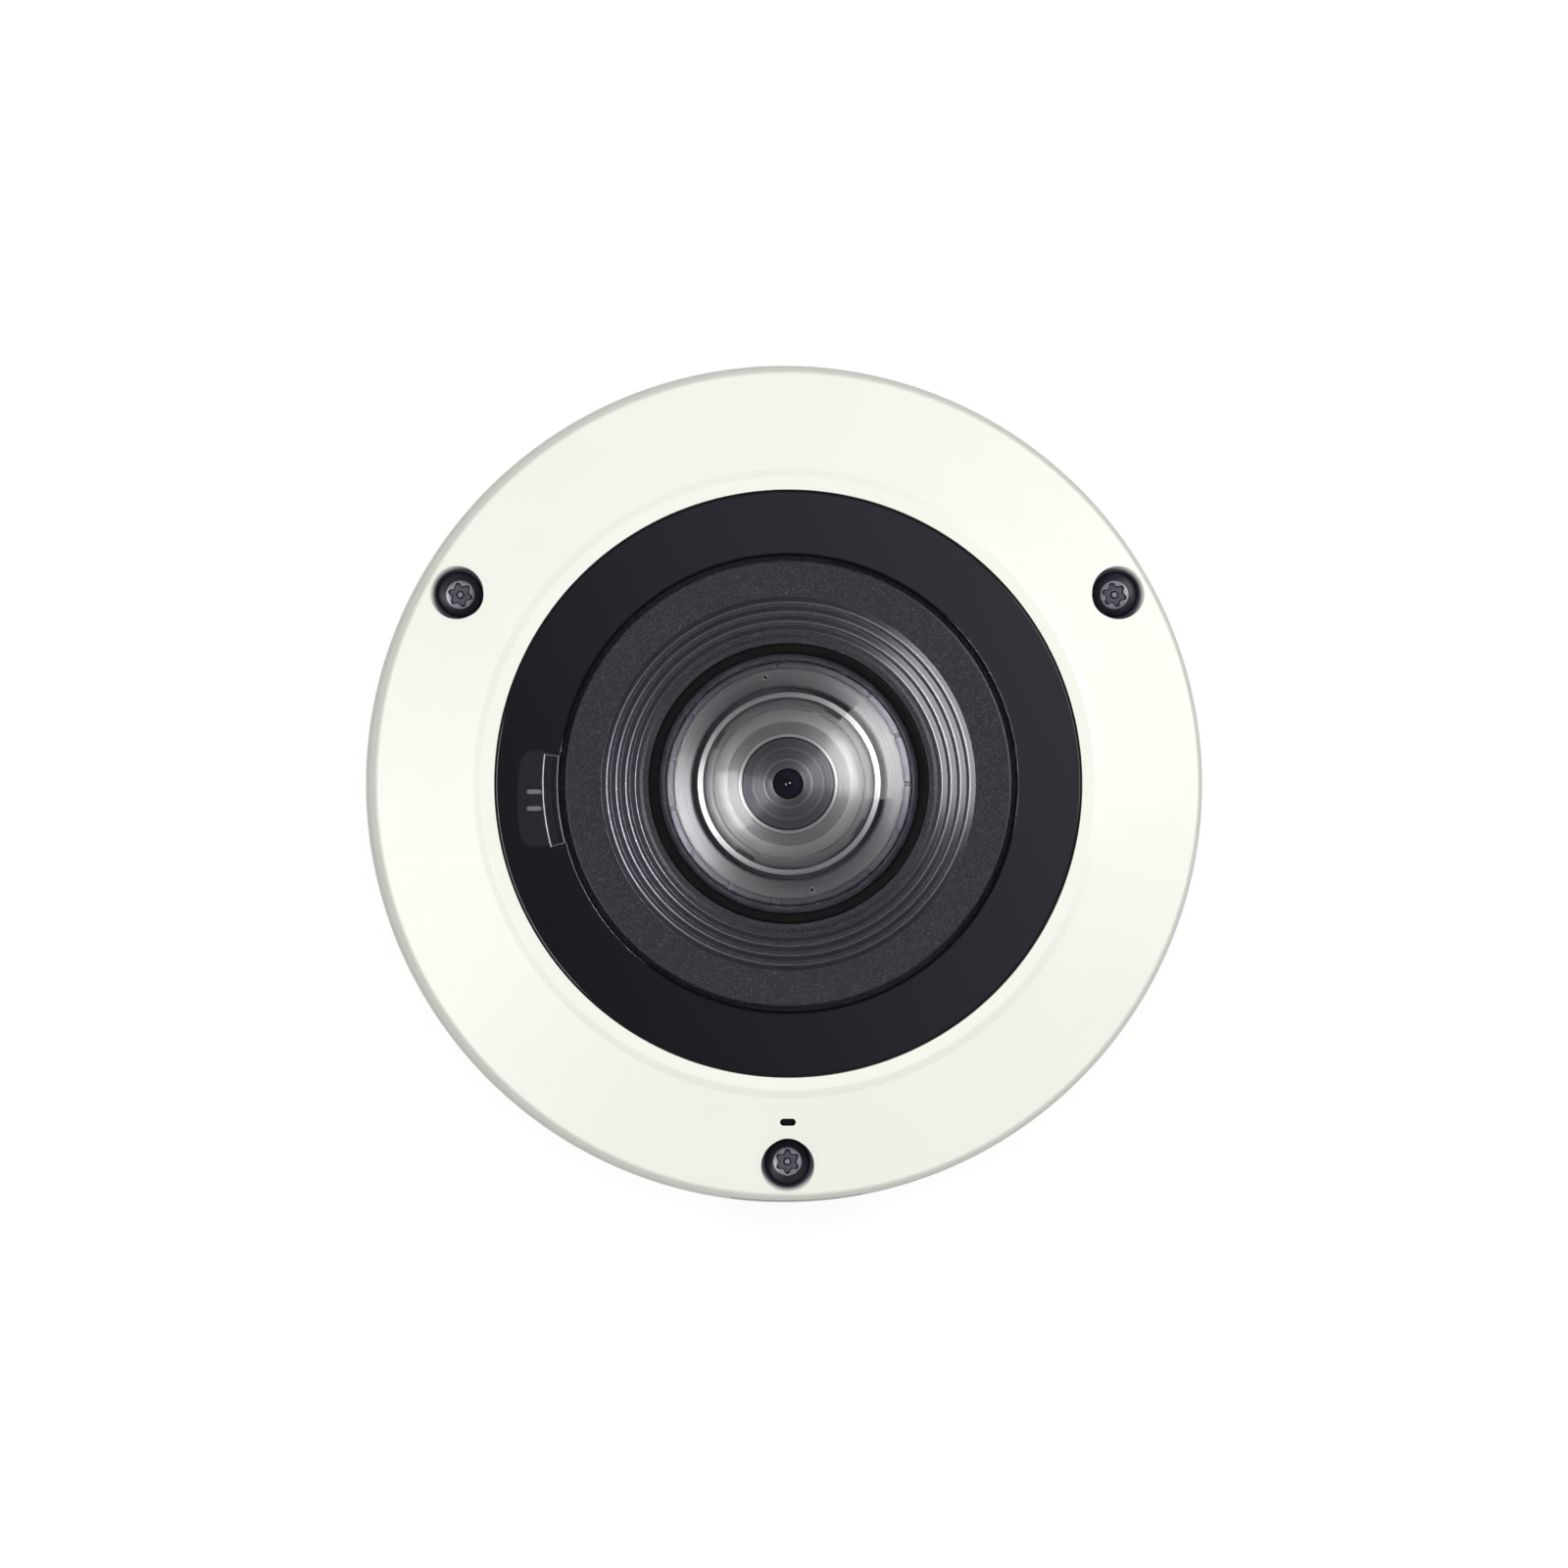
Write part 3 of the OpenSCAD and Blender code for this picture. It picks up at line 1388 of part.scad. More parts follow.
module processor() {
    color("#202024") translate([0, chip_offset, 0]) block(chip_w, chip_w, board_top, chip_t);
}

module thermal_pad() {
    color("lightpink") translate([0, chip_offset, 0]) block(chip_w, chip_w, pad_z, pad_t);
}

module memory_chips() {
    color("#202024") for (side = [-1, 1])
        translate([side * memory_x, memory_y, 0]) block(memory_w, memory_l, board_top, memory_t);
}

module network_jack() {
    inner_h = jack_h - 2 * jack_wall;
    color("silver") translate([-jack_offset, jack_y, board_top]) difference() {
        translate([-jack_w / 2, 0, 0]) cube([jack_w, jack_l, jack_h]);
        translate([-jack_w / 2 + jack_wall, -overrun, jack_wall])
            cube([jack_w - 2 * jack_wall, jack_l - 2 * jack_wall + overrun, inner_h]);
    }
}

module power_terminal() {
    color("mediumseagreen") translate([terminal_offset, terminal_y, board_top]) difference() {
        translate([-terminal_w / 2, 0, 0]) cube([terminal_w, terminal_l, terminal_h]);
        for (side = [-1, 1]) translate([side * terminal_pitch / 2, 0, 0]) {
            translate([0, terminal_l / 2, 0])
                rod(terminal_screw_d / 2 + screw_fit, terminal_h - terminal_screw_l, terminal_h + overrun);
            translate([0, 0, terminal_screw_d / 2 + terminal_floor]) rotate([-90, 0, 0])
                translate([0, 0, -overrun])
                    cylinder(d = terminal_screw_d, h = terminal_l * terminal_way_share + overrun);
        }
    }
}

// Slotted terminal screw on the given side
module terminal_screw(side) {
    low = terminal_z - terminal_screw_l + head_gap;
    high = terminal_z - terminal_slot_h / 2;
    color("silver") translate([terminal_offset + side * terminal_pitch / 2, terminal_y + terminal_l / 2, 0])
        difference() {
            rod(terminal_screw_d / 2, low, high);
            block(terminal_screw_d + overrun, terminal_slot_w,
                high - terminal_slot_h, terminal_slot_h + overrun);
        }
}

module terminal_screw_1() {
    terminal_screw(-1);
}

module terminal_screw_2() {
    terminal_screw(1);
}

module card_socket() {
    color("silver") translate([card_x, card_y - card_w / 2, board_top]) difference() {
        cube([card_l, card_w, card_h]);
        translate([card_l / 4, (card_w - card_slot_w) / 2, (card_h - card_slot_h) / 2])
            cube([card_l, card_slot_w, card_slot_h]);
    }
}

module reset_switch() {
    color("#2a2a2c") translate([switch_offset, switch_y, board_top]) difference() {
        block(switch_w, switch_w, 0, switch_h);
        rod(plunger_d / 2 + screw_fit, switch_h / 2, switch_h + overrun);
    }
}

module reset_plunger() {
    color("white") translate([switch_offset, switch_y, board_top])
        rod(plunger_d / 2, switch_h / 2 + plunger_travel + head_gap, switch_h + plunger_h);
}

// Infrared lights

module light_board() {
    color("whitesmoke") difference() {
        ring(led_board_d / 2, led_board_in_d / 2, light_z - led_board_t, led_board_t);
        rotate(mic_angle)
            wedge(led_board_d, led_gap, light_z - led_board_t - overrun, led_board_t + 2 * overrun);
        for (angle = spoke_angles)
            at(led_post_radius, angle)
                rod(led_pin_r + snap_fit, light_z - led_board_t - overrun, light_z + overrun);
    }
}

module light_posts() {
    foot = chassis_z + chassis_t;
    color("white") for (angle = spoke_angles)
        at(led_post_radius, angle) {
            rod(led_post_d / 2, foot, light_z - led_board_t);
            rod(led_pin_r, foot - chassis_t, light_z + led_h / 2);
            rod(led_post_d / 2, light_z, light_z + led_h);
        }
}

module infrared_lights() {
    color("lightyellow") for (angle = light_angles)
        at(led_radius, angle) {
            block(led_w, led_w, light_z, led_h);
            intersection() {
                translate([0, 0, light_z + led_h]) sphere(d = led_lens_d);
                rod(led_w, light_z + led_h / 2, light_z + led_clear);
            }
        }
}

module light_sensor() {
    color("#3a3a40")
        at(light_sensor_radius, insert_angle) block(light_sensor_w, light_sensor_l, light_z, light_sensor_h);
}

base_housing();
cover_gasket();
cable_grommet();
side_plug();
breather_vent();
cover();
ir_window();
window_seals();
sensor_insert();
bezel();
dome();
dome_seal();
dome_clamp();
front_frame();
frame_screws();
light_shield();
microphone();
mic_boot();
screw_seals();
screw_retainers();
cover_screw_1();
cover_screw_2();
cover_screw_3();
lens_holder();
lens_screws();
lens_barrel();
front_glass();
glass_ring();
bright_spacer();
middle_glass();
stop_ring();
rear_glass();
lock_ring();
castle_nut();
filter_tray();
filter_carrier();
filter_glasses();
filter_rotor();
filter_coil();
sensor_board();
image_sensor();
sensor_ribbon();
chassis();
chassis_screws();
standoffs();
main_board();
processor();
thermal_pad();
memory_chips();
network_jack();
power_terminal();
terminal_screw_1();
terminal_screw_2();
card_socket();
reset_switch();
reset_plunger();
light_board();
light_posts();
infrared_lights();
light_sensor();
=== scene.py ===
"""Looks of a round fisheye network camera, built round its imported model.

Lengths are in millimetres until they reach Blender, which works in metres here. Heights are
measured from the camera's back face, +Z points out of the lens and -Y to the microphone slot.
"""

import logging
import math
from collections.abc import Callable, Sequence
from dataclasses import dataclass
from enum import Enum
from functools import cached_property

import bpy
from mathutils import Matrix, Vector

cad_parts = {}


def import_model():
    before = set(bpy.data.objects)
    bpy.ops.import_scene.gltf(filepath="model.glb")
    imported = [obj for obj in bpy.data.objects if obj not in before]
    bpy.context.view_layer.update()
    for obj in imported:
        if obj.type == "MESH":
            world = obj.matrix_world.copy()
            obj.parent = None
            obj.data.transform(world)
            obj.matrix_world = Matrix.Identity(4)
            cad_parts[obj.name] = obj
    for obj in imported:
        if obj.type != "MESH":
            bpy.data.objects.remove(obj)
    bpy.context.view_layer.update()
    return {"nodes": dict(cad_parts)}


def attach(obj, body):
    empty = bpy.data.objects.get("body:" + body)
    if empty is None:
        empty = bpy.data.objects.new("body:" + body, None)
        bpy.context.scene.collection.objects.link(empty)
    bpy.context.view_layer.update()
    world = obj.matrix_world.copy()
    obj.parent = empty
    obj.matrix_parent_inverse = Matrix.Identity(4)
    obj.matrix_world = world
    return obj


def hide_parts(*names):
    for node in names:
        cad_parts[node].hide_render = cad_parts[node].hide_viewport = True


MM = 0.001
LOG = logging.getLogger("camera")

# Segments round the axis of large, fine and small turned pieces
TURN_STEPS = 192
FINE_STEPS = 256
SMALL_STEPS = 64
# Metres within which vertices are one, when a piece is drawn and when it has been cut
WELD = 1e-7
CUT_WELD = 0.001 * MM
# Faces that meet at less than this shade smoothly into one another
SMOOTH_DEG = 32.0
# Where the cover's screws stand
SCREW_DISTANCE = 65.3
SCREW_ANGLES = (30.0, 150.0, 270.0)
# Turn of one face of a fillet, and the most of an edge that one fillet takes
FILLET_DEG = 22
FILLET_SHARE = 0.48

Obj = bpy.types.Object
Socket = bpy.types.NodeSocket
Pair = tuple[float, float]
Point = tuple[float, float, float]


class Body(Enum):
    """The bodies of the model that pieces ride on."""

    BASE = "base"
    COVER = "cover"
    SCREW_1 = "cover_screw_1"
    SCREW_2 = "cover_screw_2"
    SCREW_3 = "cover_screw_3"


# Mesh making


def deselect() -> None:
    """Goes to object mode and selects nothing."""
    if bpy.context.object and bpy.context.object.mode != "OBJECT":
        bpy.ops.object.mode_set(mode="OBJECT")
    bpy.ops.object.select_all(action="DESELECT")


def pick(obj: Obj) -> None:
    """Selects one object alone and makes it the active one."""
    deselect()
    obj.select_set(True)
    bpy.context.view_layer.objects.active = obj


def apply_modifier(obj: Obj, kind: str, **settings: object) -> None:
    """Adds a modifier to a piece, gives it its settings and applies it."""
    pick(obj)
    bpy.ops.object.modifier_add(type=kind)
    modifier = obj.modifiers[-1]
    for key, value in settings.items():
        setattr(modifier, key, value)
    bpy.ops.object.modifier_apply(modifier=modifier.name)


def wire(name: str, points: Sequence[Point], closed: bool) -> Obj:
    """Draws a line of edges by extruding one vertex from point to point, and stays in edit mode.

    Args:
        name: The new object's name.
        points: The places that the line passes, in millimetres.
        closed: Whether the line ends where it began.

    Returns:
        The object, with all of its line selected.
    """
    deselect()
    bpy.ops.mesh.primitive_plane_add(size=MM, location=(0, 0, 0))
    obj = bpy.context.object
    obj.name = obj.data.name = name
    bpy.ops.object.mode_set(mode="EDIT")
    bpy.ops.mesh.merge(type="CENTER")
    here = Vector(points[0]) * MM
    bpy.ops.transform.translate(value=here)
    for point in [*points[1:], *points[: int(closed)]]:
        there = Vector(point) * MM
        bpy.ops.mesh.extrude_region_move(TRANSFORM_OT_translate={"value": there - here})
        here = there
    bpy.ops.mesh.select_all(action="SELECT")
    if closed:
        bpy.ops.mesh.remove_doubles(threshold=WELD)
    return obj


def shade(obj: Obj, smooth_deg: float = SMOOTH_DEG) -> None:
    """Shades a piece smooth where its faces meet at less than the given angle."""
    pick(obj)
    bpy.ops.object.shade_smooth_by_angle(angle=math.radians(smooth_deg))


def close_up(obj: Obj, smooth_deg: float) -> Obj:
    """Merges doubles, turns the faces outwards, leaves edit mode and shades the piece."""
    bpy.ops.mesh.select_all(action="SELECT")
    bpy.ops.mesh.remove_doubles(threshold=WELD)
    bpy.ops.mesh.normals_make_consistent(inside=False)
    bpy.ops.object.mode_set(mode="OBJECT")
    shade(obj, smooth_deg)
    return obj


def turned(
    name: str,
    section: Sequence[Pair],
    steps: int = TURN_STEPS,
    centre: Pair = (0.0, 0.0),
    smooth_deg: float = SMOOTH_DEG,
) -> Obj:
    """Spins a half section round an upright line.

    Args:
        name: The new object's name.
        section: Radius and height of each point; the line is closed unless it starts on the axis.
        steps: Number of segments round the axis.
        centre: Where the axis stands.
        smooth_deg: The angle up to which faces shade smoothly into one another.

    Returns:
        The closed piece.
    """
    x, y = centre
    obj = wire(name, [(x + radius, y, z) for radius, z in section], closed=section[0][0] > 0)
    bpy.ops.mesh.spin(steps=steps, angle=math.tau, center=(x * MM, y * MM, 0), axis=(0, 0, 1))
    return close_up(obj, smooth_deg)


def plug_tool(radius: float, low: float, high: float, steps: int, centre: Pair = (0.0, 0.0)) -> Obj:
    """A plain cylinder that cuts or trims other pieces."""
    return turned("tool", [(0.0, low), (radius, low), (radius, high), (0.0, high)], steps, centre)


def prism(name: str, outline: Sequence[Pair], low: float, high: float) -> Obj:
    """Extrudes a flat outline upwards from one height to another."""
    obj = wire(name, [(x, y, low) for x, y in outline], closed=True)
    bpy.ops.mesh.edge_face_add()
    bpy.ops.mesh.extrude_region_move(TRANSFORM_OT_translate={"value": (0, 0, (high - low) * MM)})
    return close_up(obj, SMOOTH_DEG)


def block(name: str, size: Point, centre: Point, turn_deg: float) -> Obj:
    """Adds a box of a size round a centre, and turns it round the camera's axis."""
    deselect()
    bpy.ops.mesh.primitive_cube_add(size=MM, location=[c * MM for c in centre], scale=size)
    obj = bpy.context.object
    obj.name = obj.data.name = name
    bpy.ops.object.transform_apply(location=True, rotation=True, scale=True)
    obj.rotation_euler = (0, 0, math.radians(turn_deg))
    bpy.ops.object.transform_apply(location=False, rotation=True, scale=False)
    return obj


class Cut(Enum):
    """What a boolean does with the tool that is laid over a piece."""

    AWAY = "DIFFERENCE"
    TOGETHER = "UNION"
    WITHIN = "INTERSECT"


def combine(obj: Obj, tool: Obj, way: Cut = Cut.AWAY) -> None:
    """Cuts a piece with a tool, or joins the tool to it, and removes the tool.

    Args:
        obj: The piece that is changed.
        tool: The closed mesh that is laid over it.
        way: What is done with the tool.
    """
    apply_modifier(obj, "BOOLEAN", operation=way.value, solver="EXACT", object=tool)
    bpy.ops.object.mode_set(mode="EDIT")
    bpy.ops.mesh.select_all(action="SELECT")
    bpy.ops.mesh.remove_doubles(threshold=CUT_WELD)
    bpy.ops.object.mode_set(mode="OBJECT")
    bpy.data.objects.remove(tool)


def soften(obj: Obj, width: float, segments: int = 2, over_deg: float = 40.0) -> None:
    """Rounds a piece's sharp edges with a bevel.

    Args:
        obj: The piece.
        width: The bevel's width in millimetres.
        segments: Number of faces across the rounding.
        over_deg: Edges that turn by more than this are rounded.
    """
    limits = {"limit_method": "ANGLE", "angle_limit": math.radians(over_deg)}
    faces = {"segments": segments, "harden_normals": False}
    apply_modifier(obj, "BEVEL", width=width * MM, **faces, **limits)
    shade(obj)


# Outlines


def arc(cx: float, cy: float, r: float, start: float, end: float, count: int) -> list[Pair]:
    """Points on an arc from one direction to another, in degrees."""
    turns = [math.radians(start + (end - start) * i / count) for i in range(count + 1)]
    return [(cx + r * math.cos(t), cy + r * math.sin(t)) for t in turns]


def filleted(corners: Sequence[Point], closed: bool = True) -> list[Pair]:
    """Rounds the corners of a section.

    Args:
        corners: Radius, height and rounding of each corner; a rounding of 0 keeps it sharp.
        closed: Whether the last corner joins the first.

    Returns:
        The section's points, with short arcs at the rounded corners.
    """
    points: list[Pair] = []
    count = len(corners)
    for i, (x, y, size) in enumerate(corners):
        if size <= 0 or not (closed or 0 < i < count - 1):
            points.append((x, y))
            continue
        here = Vector((x, y))
        before = Vector(corners[i - 1][:2]) - here
        after = Vector(corners[(i + 1) % count][:2]) - here
        into, out = before.normalized(), after.normalized()
        half = into.angle(out) / 2
        longest = FILLET_SHARE * before.length, FILLET_SHARE * after.length
        reach = min(size / math.tan(half), *longest)
        radius = reach * math.tan(half)
        centre = here + (into + out).normalized() * (radius / math.sin(half))
        first, last = here + into * reach - centre, here + out * reach - centre
        swing = first.angle_signed(last)
        steps = max(2, round(abs(math.degrees(swing)) / FILLET_DEG))
        start = math.degrees(math.atan2(first.y, first.x))
        points += arc(centre.x, centre.y, radius, start, start - math.degrees(swing), steps)
    return points


def cap_radius(foot: float, height: float) -> float:
    """Radius of the sphere whose cap has this foot radius and height."""
    return (foot * foot + height * height) / (2 * height)


def around(radius: float, degrees: float, centre: Pair = (0.0, 0.0)) -> Pair:
    """The point at a distance and direction from a centre."""
    turn = math.radians(degrees)
    return centre[0] + radius * math.cos(turn), centre[1] + radius * math.sin(turn)


# Dressing


def settle(obj: Obj, finish: "Finish", body: Body, slot: str, stands_for: str) -> Obj:
    """Gives a finished piece its material and its body, and hides the node that it stands for.

    Args:
        obj: The piece.
        finish: The finish that it wears.
        body: The body that it rides on.
        slot: Not used.
        stands_for: The CAD node that it replaces.

    Returns:
        The same piece.
    """
    apply_modifier(obj, "WEIGHTED_NORMAL", keep_sharp=True)
    obj.data.materials.clear()
    obj.data.materials.append(finish.material())
    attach(obj, body.value)
    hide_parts(stands_for)
    LOG.info("%s: %d faces, rides on %s", obj.name, len(obj.data.polygons), body.value)
    return obj


def paint_faces(
    obj: Obj, choose: Callable[[float, Vector, Vector], int], *finishes: "Finish"
) -> None:
    """Gives some faces of a settled piece a further finish.

    Args:
        obj: The piece, which wears its first finish.
        choose: Number of a face's finish, from its distance from the axis, its centre in
            millimetres and its normal.
        finishes: The finishes after the first.
    """
    for finish in finishes:
        obj.data.materials.append(finish.material())
    for face in obj.data.polygons:
        centre = face.center / MM
        face.material_index = choose(math.hypot(centre.x, centre.y), centre, face.normal)


# Finishes

UNIT = (0.0, 1.0)
# Ranges that hold most and nearly all of a noise
MIDDLE = (0.35, 0.65)
SPAN = (0.3, 0.7)
# Details of a fine noise, and a multiplier that flattens a place to its distance from the axis
FINE_DETAIL = 3.0
FLATTEN = (1.0, 1.0, 0.0)
# A wave texture repeats this many times in a length of one at a scale of one
WAVES_PER_UNIT = 20 / math.tau


def linear(hex_colour: str) -> tuple[float, float, float, float]:
    """Turns an sRGB hex colour into linear values with full alpha."""
    parts = [int(hex_colour[i : i + 2], 16) / 255 for i in (1, 3, 5)]
    return (*[c / 12.92 if c <= 0.04045 else ((c + 0.055) / 1.055) ** 2.4 for c in parts], 1.0)


def per_metre(size_mm: float) -> float:
    """Texture scale at which a pattern's features have this size in millimetres."""
    return 1 / (size_mm * MM)


def spread(middle: float, reach: float) -> Pair:
    """The range that reaches as far below a value as above it."""
    return middle - reach, middle + reach


class Graph:
    """The cleared node tree of a material or world, with short ways to add nodes."""

    def __init__(self, owner: bpy.types.Material | bpy.types.World) -> None:
        """Clears the owner's tree."""
        owner.use_nodes = True
        self.tree = owner.node_tree
        self.tree.nodes.clear()

    @cached_property
    def where(self) -> Socket:
        """The place on the object, in metres."""
        return self.add("TexCoord").outputs["Object"]

    @cached_property
    def shader(self) -> bpy.types.Node:
        """The surface's one shader."""
        return self.add("BsdfPrincipled")

    def feed(self, node: bpy.types.Node, inputs: dict) -> None:
        """Gives inputs of a node, by name or number, their values or the sockets that feed them."""
        for key, value in inputs.items():
            if isinstance(value, Socket):
                self.tree.links.new(value, node.inputs[key])
            else:
                node.inputs[key].default_value = value

    def add(self, kind: str, inputs: dict | None = None, **settings: object) -> bpy.types.Node:
        """Adds a node, sets its attributes and feeds its inputs.

        Args:
            kind: The node's type, less "ShaderNode".
            inputs: What its inputs take, as in feed.
            settings: Its attributes.

        Returns:
            The node.
        """
        node = self.tree.nodes.new(f"ShaderNode{kind}")
        for key, value in settings.items():
            setattr(node, key, value)
        self.feed(node, inputs or {})
        return node

    def wear(self, colour: object, roughness: object, **others: object) -> None:
        """Feeds the shader; the names of the other inputs have low lines for their spaces."""
        inputs = {name.replace("_", " "): value for name, value in others.items()}
        self.feed(self.shader, {"Base Color": colour, "Roughness": roughness, **inputs})

    def math(self, operation: str, *values: float | Socket) -> Socket:
        """Result of a number operation."""
        return self.add("Math", dict(enumerate(values)), operation=operation).outputs[0]

    def vector(self, operation: str, *values: Point | Socket, gives: str = "Value") -> Socket:
        """Result of a vector operation: its Value, or its Vector."""
        node = self.add("VectorMath", dict(enumerate(values)), operation=operation)
        return node.outputs[gives]

    def fit(self, value: Socket, old: Pair, new: Pair = UNIT) -> Socket:
        """Maps a value from one range to another and keeps it inside."""
        ends = dict(zip(("From Min", "From Max", "To Min", "To Max"), (*old, *new)))
        return self.add("MapRange", {"Value": value, **ends}).outputs["Result"]

    def blend(self, share: Socket, first: str | Socket, second: str) -> Socket:
        """Mixes a hex colour or a colour socket with a hex colour by a share."""
        start = linear(first) if isinstance(first, str) else first
        mix = self.add("Mix", {0: share, 6: start, 7: linear(second)}, data_type="RGBA")
        return mix.outputs[2]

    def noise(self, size_mm: float, detail: float = 2.0) -> Socket:
        """A noise whose lumps have a size in millimetres."""
        inputs = {"Vector": self.where, "Scale": per_metre(size_mm), "Detail": detail}
        return self.add("TexNoise", inputs).outputs["Fac"]

    def cells(self, size_mm: float, **settings: object) -> bpy.types.Node:
        """Voronoi cells of a size in millimetres."""
        inputs = {"Vector": self.where, "Scale": per_metre(size_mm)}
        return self.add("TexVoronoi", inputs, **settings)

    def waves(self, scale: float, direction: str) -> Socket:
        """Parallel waves across a direction."""
        inputs = {"Vector": self.where, "Scale": scale}
        return self.add("TexWave", inputs, bands_direction=direction).outputs["Fac"]

    def bump(self, height: Socket, depth_mm: float) -> Socket:
        """A bumped normal whose relief has a depth in millimetres."""
        inputs = {"Height": height, "Strength": 1.0, "Distance": depth_mm * MM}
        return self.add("Bump", inputs).outputs["Normal"]


@dataclass(frozen=True)
class Finish:
    """A finish that pieces wear, made into one material."""

    name: str

    def material(self) -> bpy.types.Material:
        """Returns the finish's material, made the first time that it is asked for."""
        made = bpy.data.materials.get(self.name)
        if not made:
            made = bpy.data.materials.new(self.name)
            graph = Graph(made)
            self.dress(graph)
            graph.add("OutputMaterial", {"Surface": self.surface(graph)})
        return made

    def dress(self, graph: Graph) -> None:
        """Sets the shader up."""

    def surface(self, graph: Graph) -> Socket:
        """Returns what the material shows."""
        return graph.shader.outputs[0]


@dataclass(frozen=True)
class Moulded(Finish):
    """A moulded, painted or cast surface: faint patches of a second shade over a fine grain."""

    colour: str
    patches: str
    patch_mm: float
    roughness: float
    swing: float
    grain_mm: float
    grain_depth_mm: float
    ior: float = 1.5
    metallic: float = 0.0
    coat: float = 0.0

    def dress(self, graph: Graph) -> None:
        """Sets the colour, roughness and grain."""
        share = graph.fit(graph.noise(self.patch_mm), MIDDLE)
        grain = graph.noise(self.grain_mm, FINE_DETAIL)
        tint = graph.blend(share, self.colour, self.patches)
        rough = graph.fit(grain, SPAN, spread(self.roughness, self.swing))
        relief = graph.bump(grain, self.grain_depth_mm)
        numbers = {"IOR": self.ior, "Metallic": self.metallic, "Coat_Weight": self.coat}
        graph.wear(tint, rough, Normal=relief, **numbers)


@dataclass(frozen=True)
class SparkEroded(Finish):
    """Charcoal plastic from a spark-eroded mould: pitted, with sparse bright grains."""

    colour: str = "#15151A"
    pale: str = "#25242B"
    sparkle: str = "#55535F"
    pit_mm: float = 0.24
    grain_mm: float = 0.11
    sparkle_share: float = 0.15
    depth_mm: float = 0.015
    roughness: float = 0.46
    ior: float = 1.52
    metallic: float = 0.0
    pit_span: Pair = (0.38, 0.68)
    polish: float = 0.22

    def dress(self, graph: Graph) -> None:
        """Draws pits and sparkling grains."""
        pits = graph.noise(self.pit_mm, FINE_DETAIL)
        grains = graph.cells(self.grain_mm).outputs["Color"]
        chance = graph.add("SeparateColor", {0: grains}).outputs[0]
        lit = graph.fit(chance, (1 - self.sparkle_share, 1 - self.sparkle_share / 3))
        base = graph.blend(graph.fit(pits, self.pit_span), self.colour, self.pale)
        tint = graph.blend(lit, base, self.sparkle)
        rough = graph.fit(lit, UNIT, (self.roughness, self.roughness - self.polish))
        relief = graph.bump(pits, self.depth_mm)
        graph.wear(tint, rough, Normal=relief, IOR=self.ior, Metallic=self.metallic)


@dataclass(frozen=True)
class Spun(Finish):
    """Metal turned on a lathe about the camera's axis: it lights up in two opposite fans."""

    colour: str
    worn: str
    roughness: float
    anisotropic: float
    metallic: float = 1.0
    line_mm: float = 0.22
    depth_mm: float = 0.002
    swing: float = 0.05
    quarter_turn: float = 0.25

    def dress(self, graph: Graph) -> None:
        """Draws the turning lines by their distance from the axis."""
        flat = graph.vector("MULTIPLY", graph.where, FLATTEN, gives="Vector")
        radius, scale = graph.vector("LENGTH", flat), per_metre(self.line_mm)
        inputs = {"W": radius, "Scale": scale, "Detail": FINE_DETAIL}
        lines = graph.add("TexNoise", inputs, noise_dimensions="1D").outputs["Fac"]
        graph.wear(
            graph.blend(graph.fit(lines, SPAN), self.colour, self.worn),
            graph.fit(lines, SPAN, spread(self.roughness, self.swing)),
            Normal=graph.bump(lines, self.depth_mm),
            Tangent=graph.add("Tangent", direction_type="RADIAL", axis="Z").outputs[0],
            Metallic=self.metallic,
            Anisotropic=self.anisotropic,
            Anisotropic_Rotation=self.quarter_turn,
        )


@dataclass(frozen=True)
class Clear(Finish):
    """Clear plastic or glass that lets lamps light what is behind it."""

    colour: str
    roughness: float
    ior: float
    haze: float
    haze_mm: float
    shade: str
    gloss: str = "#FFFFFF"
    haze_span: Pair = (0.4, 0.7)

    def dress(self, graph: Graph) -> None:
        """Sets clear, faintly hazy glass."""
        veil = graph.noise(self.haze_mm, 1.0)
        rough = (self.roughness, self.roughness + self.haze)
        hazy = graph.fit(veil, self.haze_span, rough)
        others = {"Transmission_Weight": 1.0, "Specular_Tint": linear(self.gloss)}
        graph.wear(linear(self.colour), hazy, IOR=self.ior, **others)

    def surface(self, graph: Graph) -> Socket:
        """Lets light through to what stands behind, as a film of the shade's colour."""
        shadow = graph.add("LightPath").outputs["Is Shadow Ray"]
        film = graph.add("BsdfTransparent", {"Color": linear(self.shade)}).outputs[0]
        return graph.add("MixShader", {0: shadow, 1: graph.shader.outputs[0], 2: film}).outputs[0]


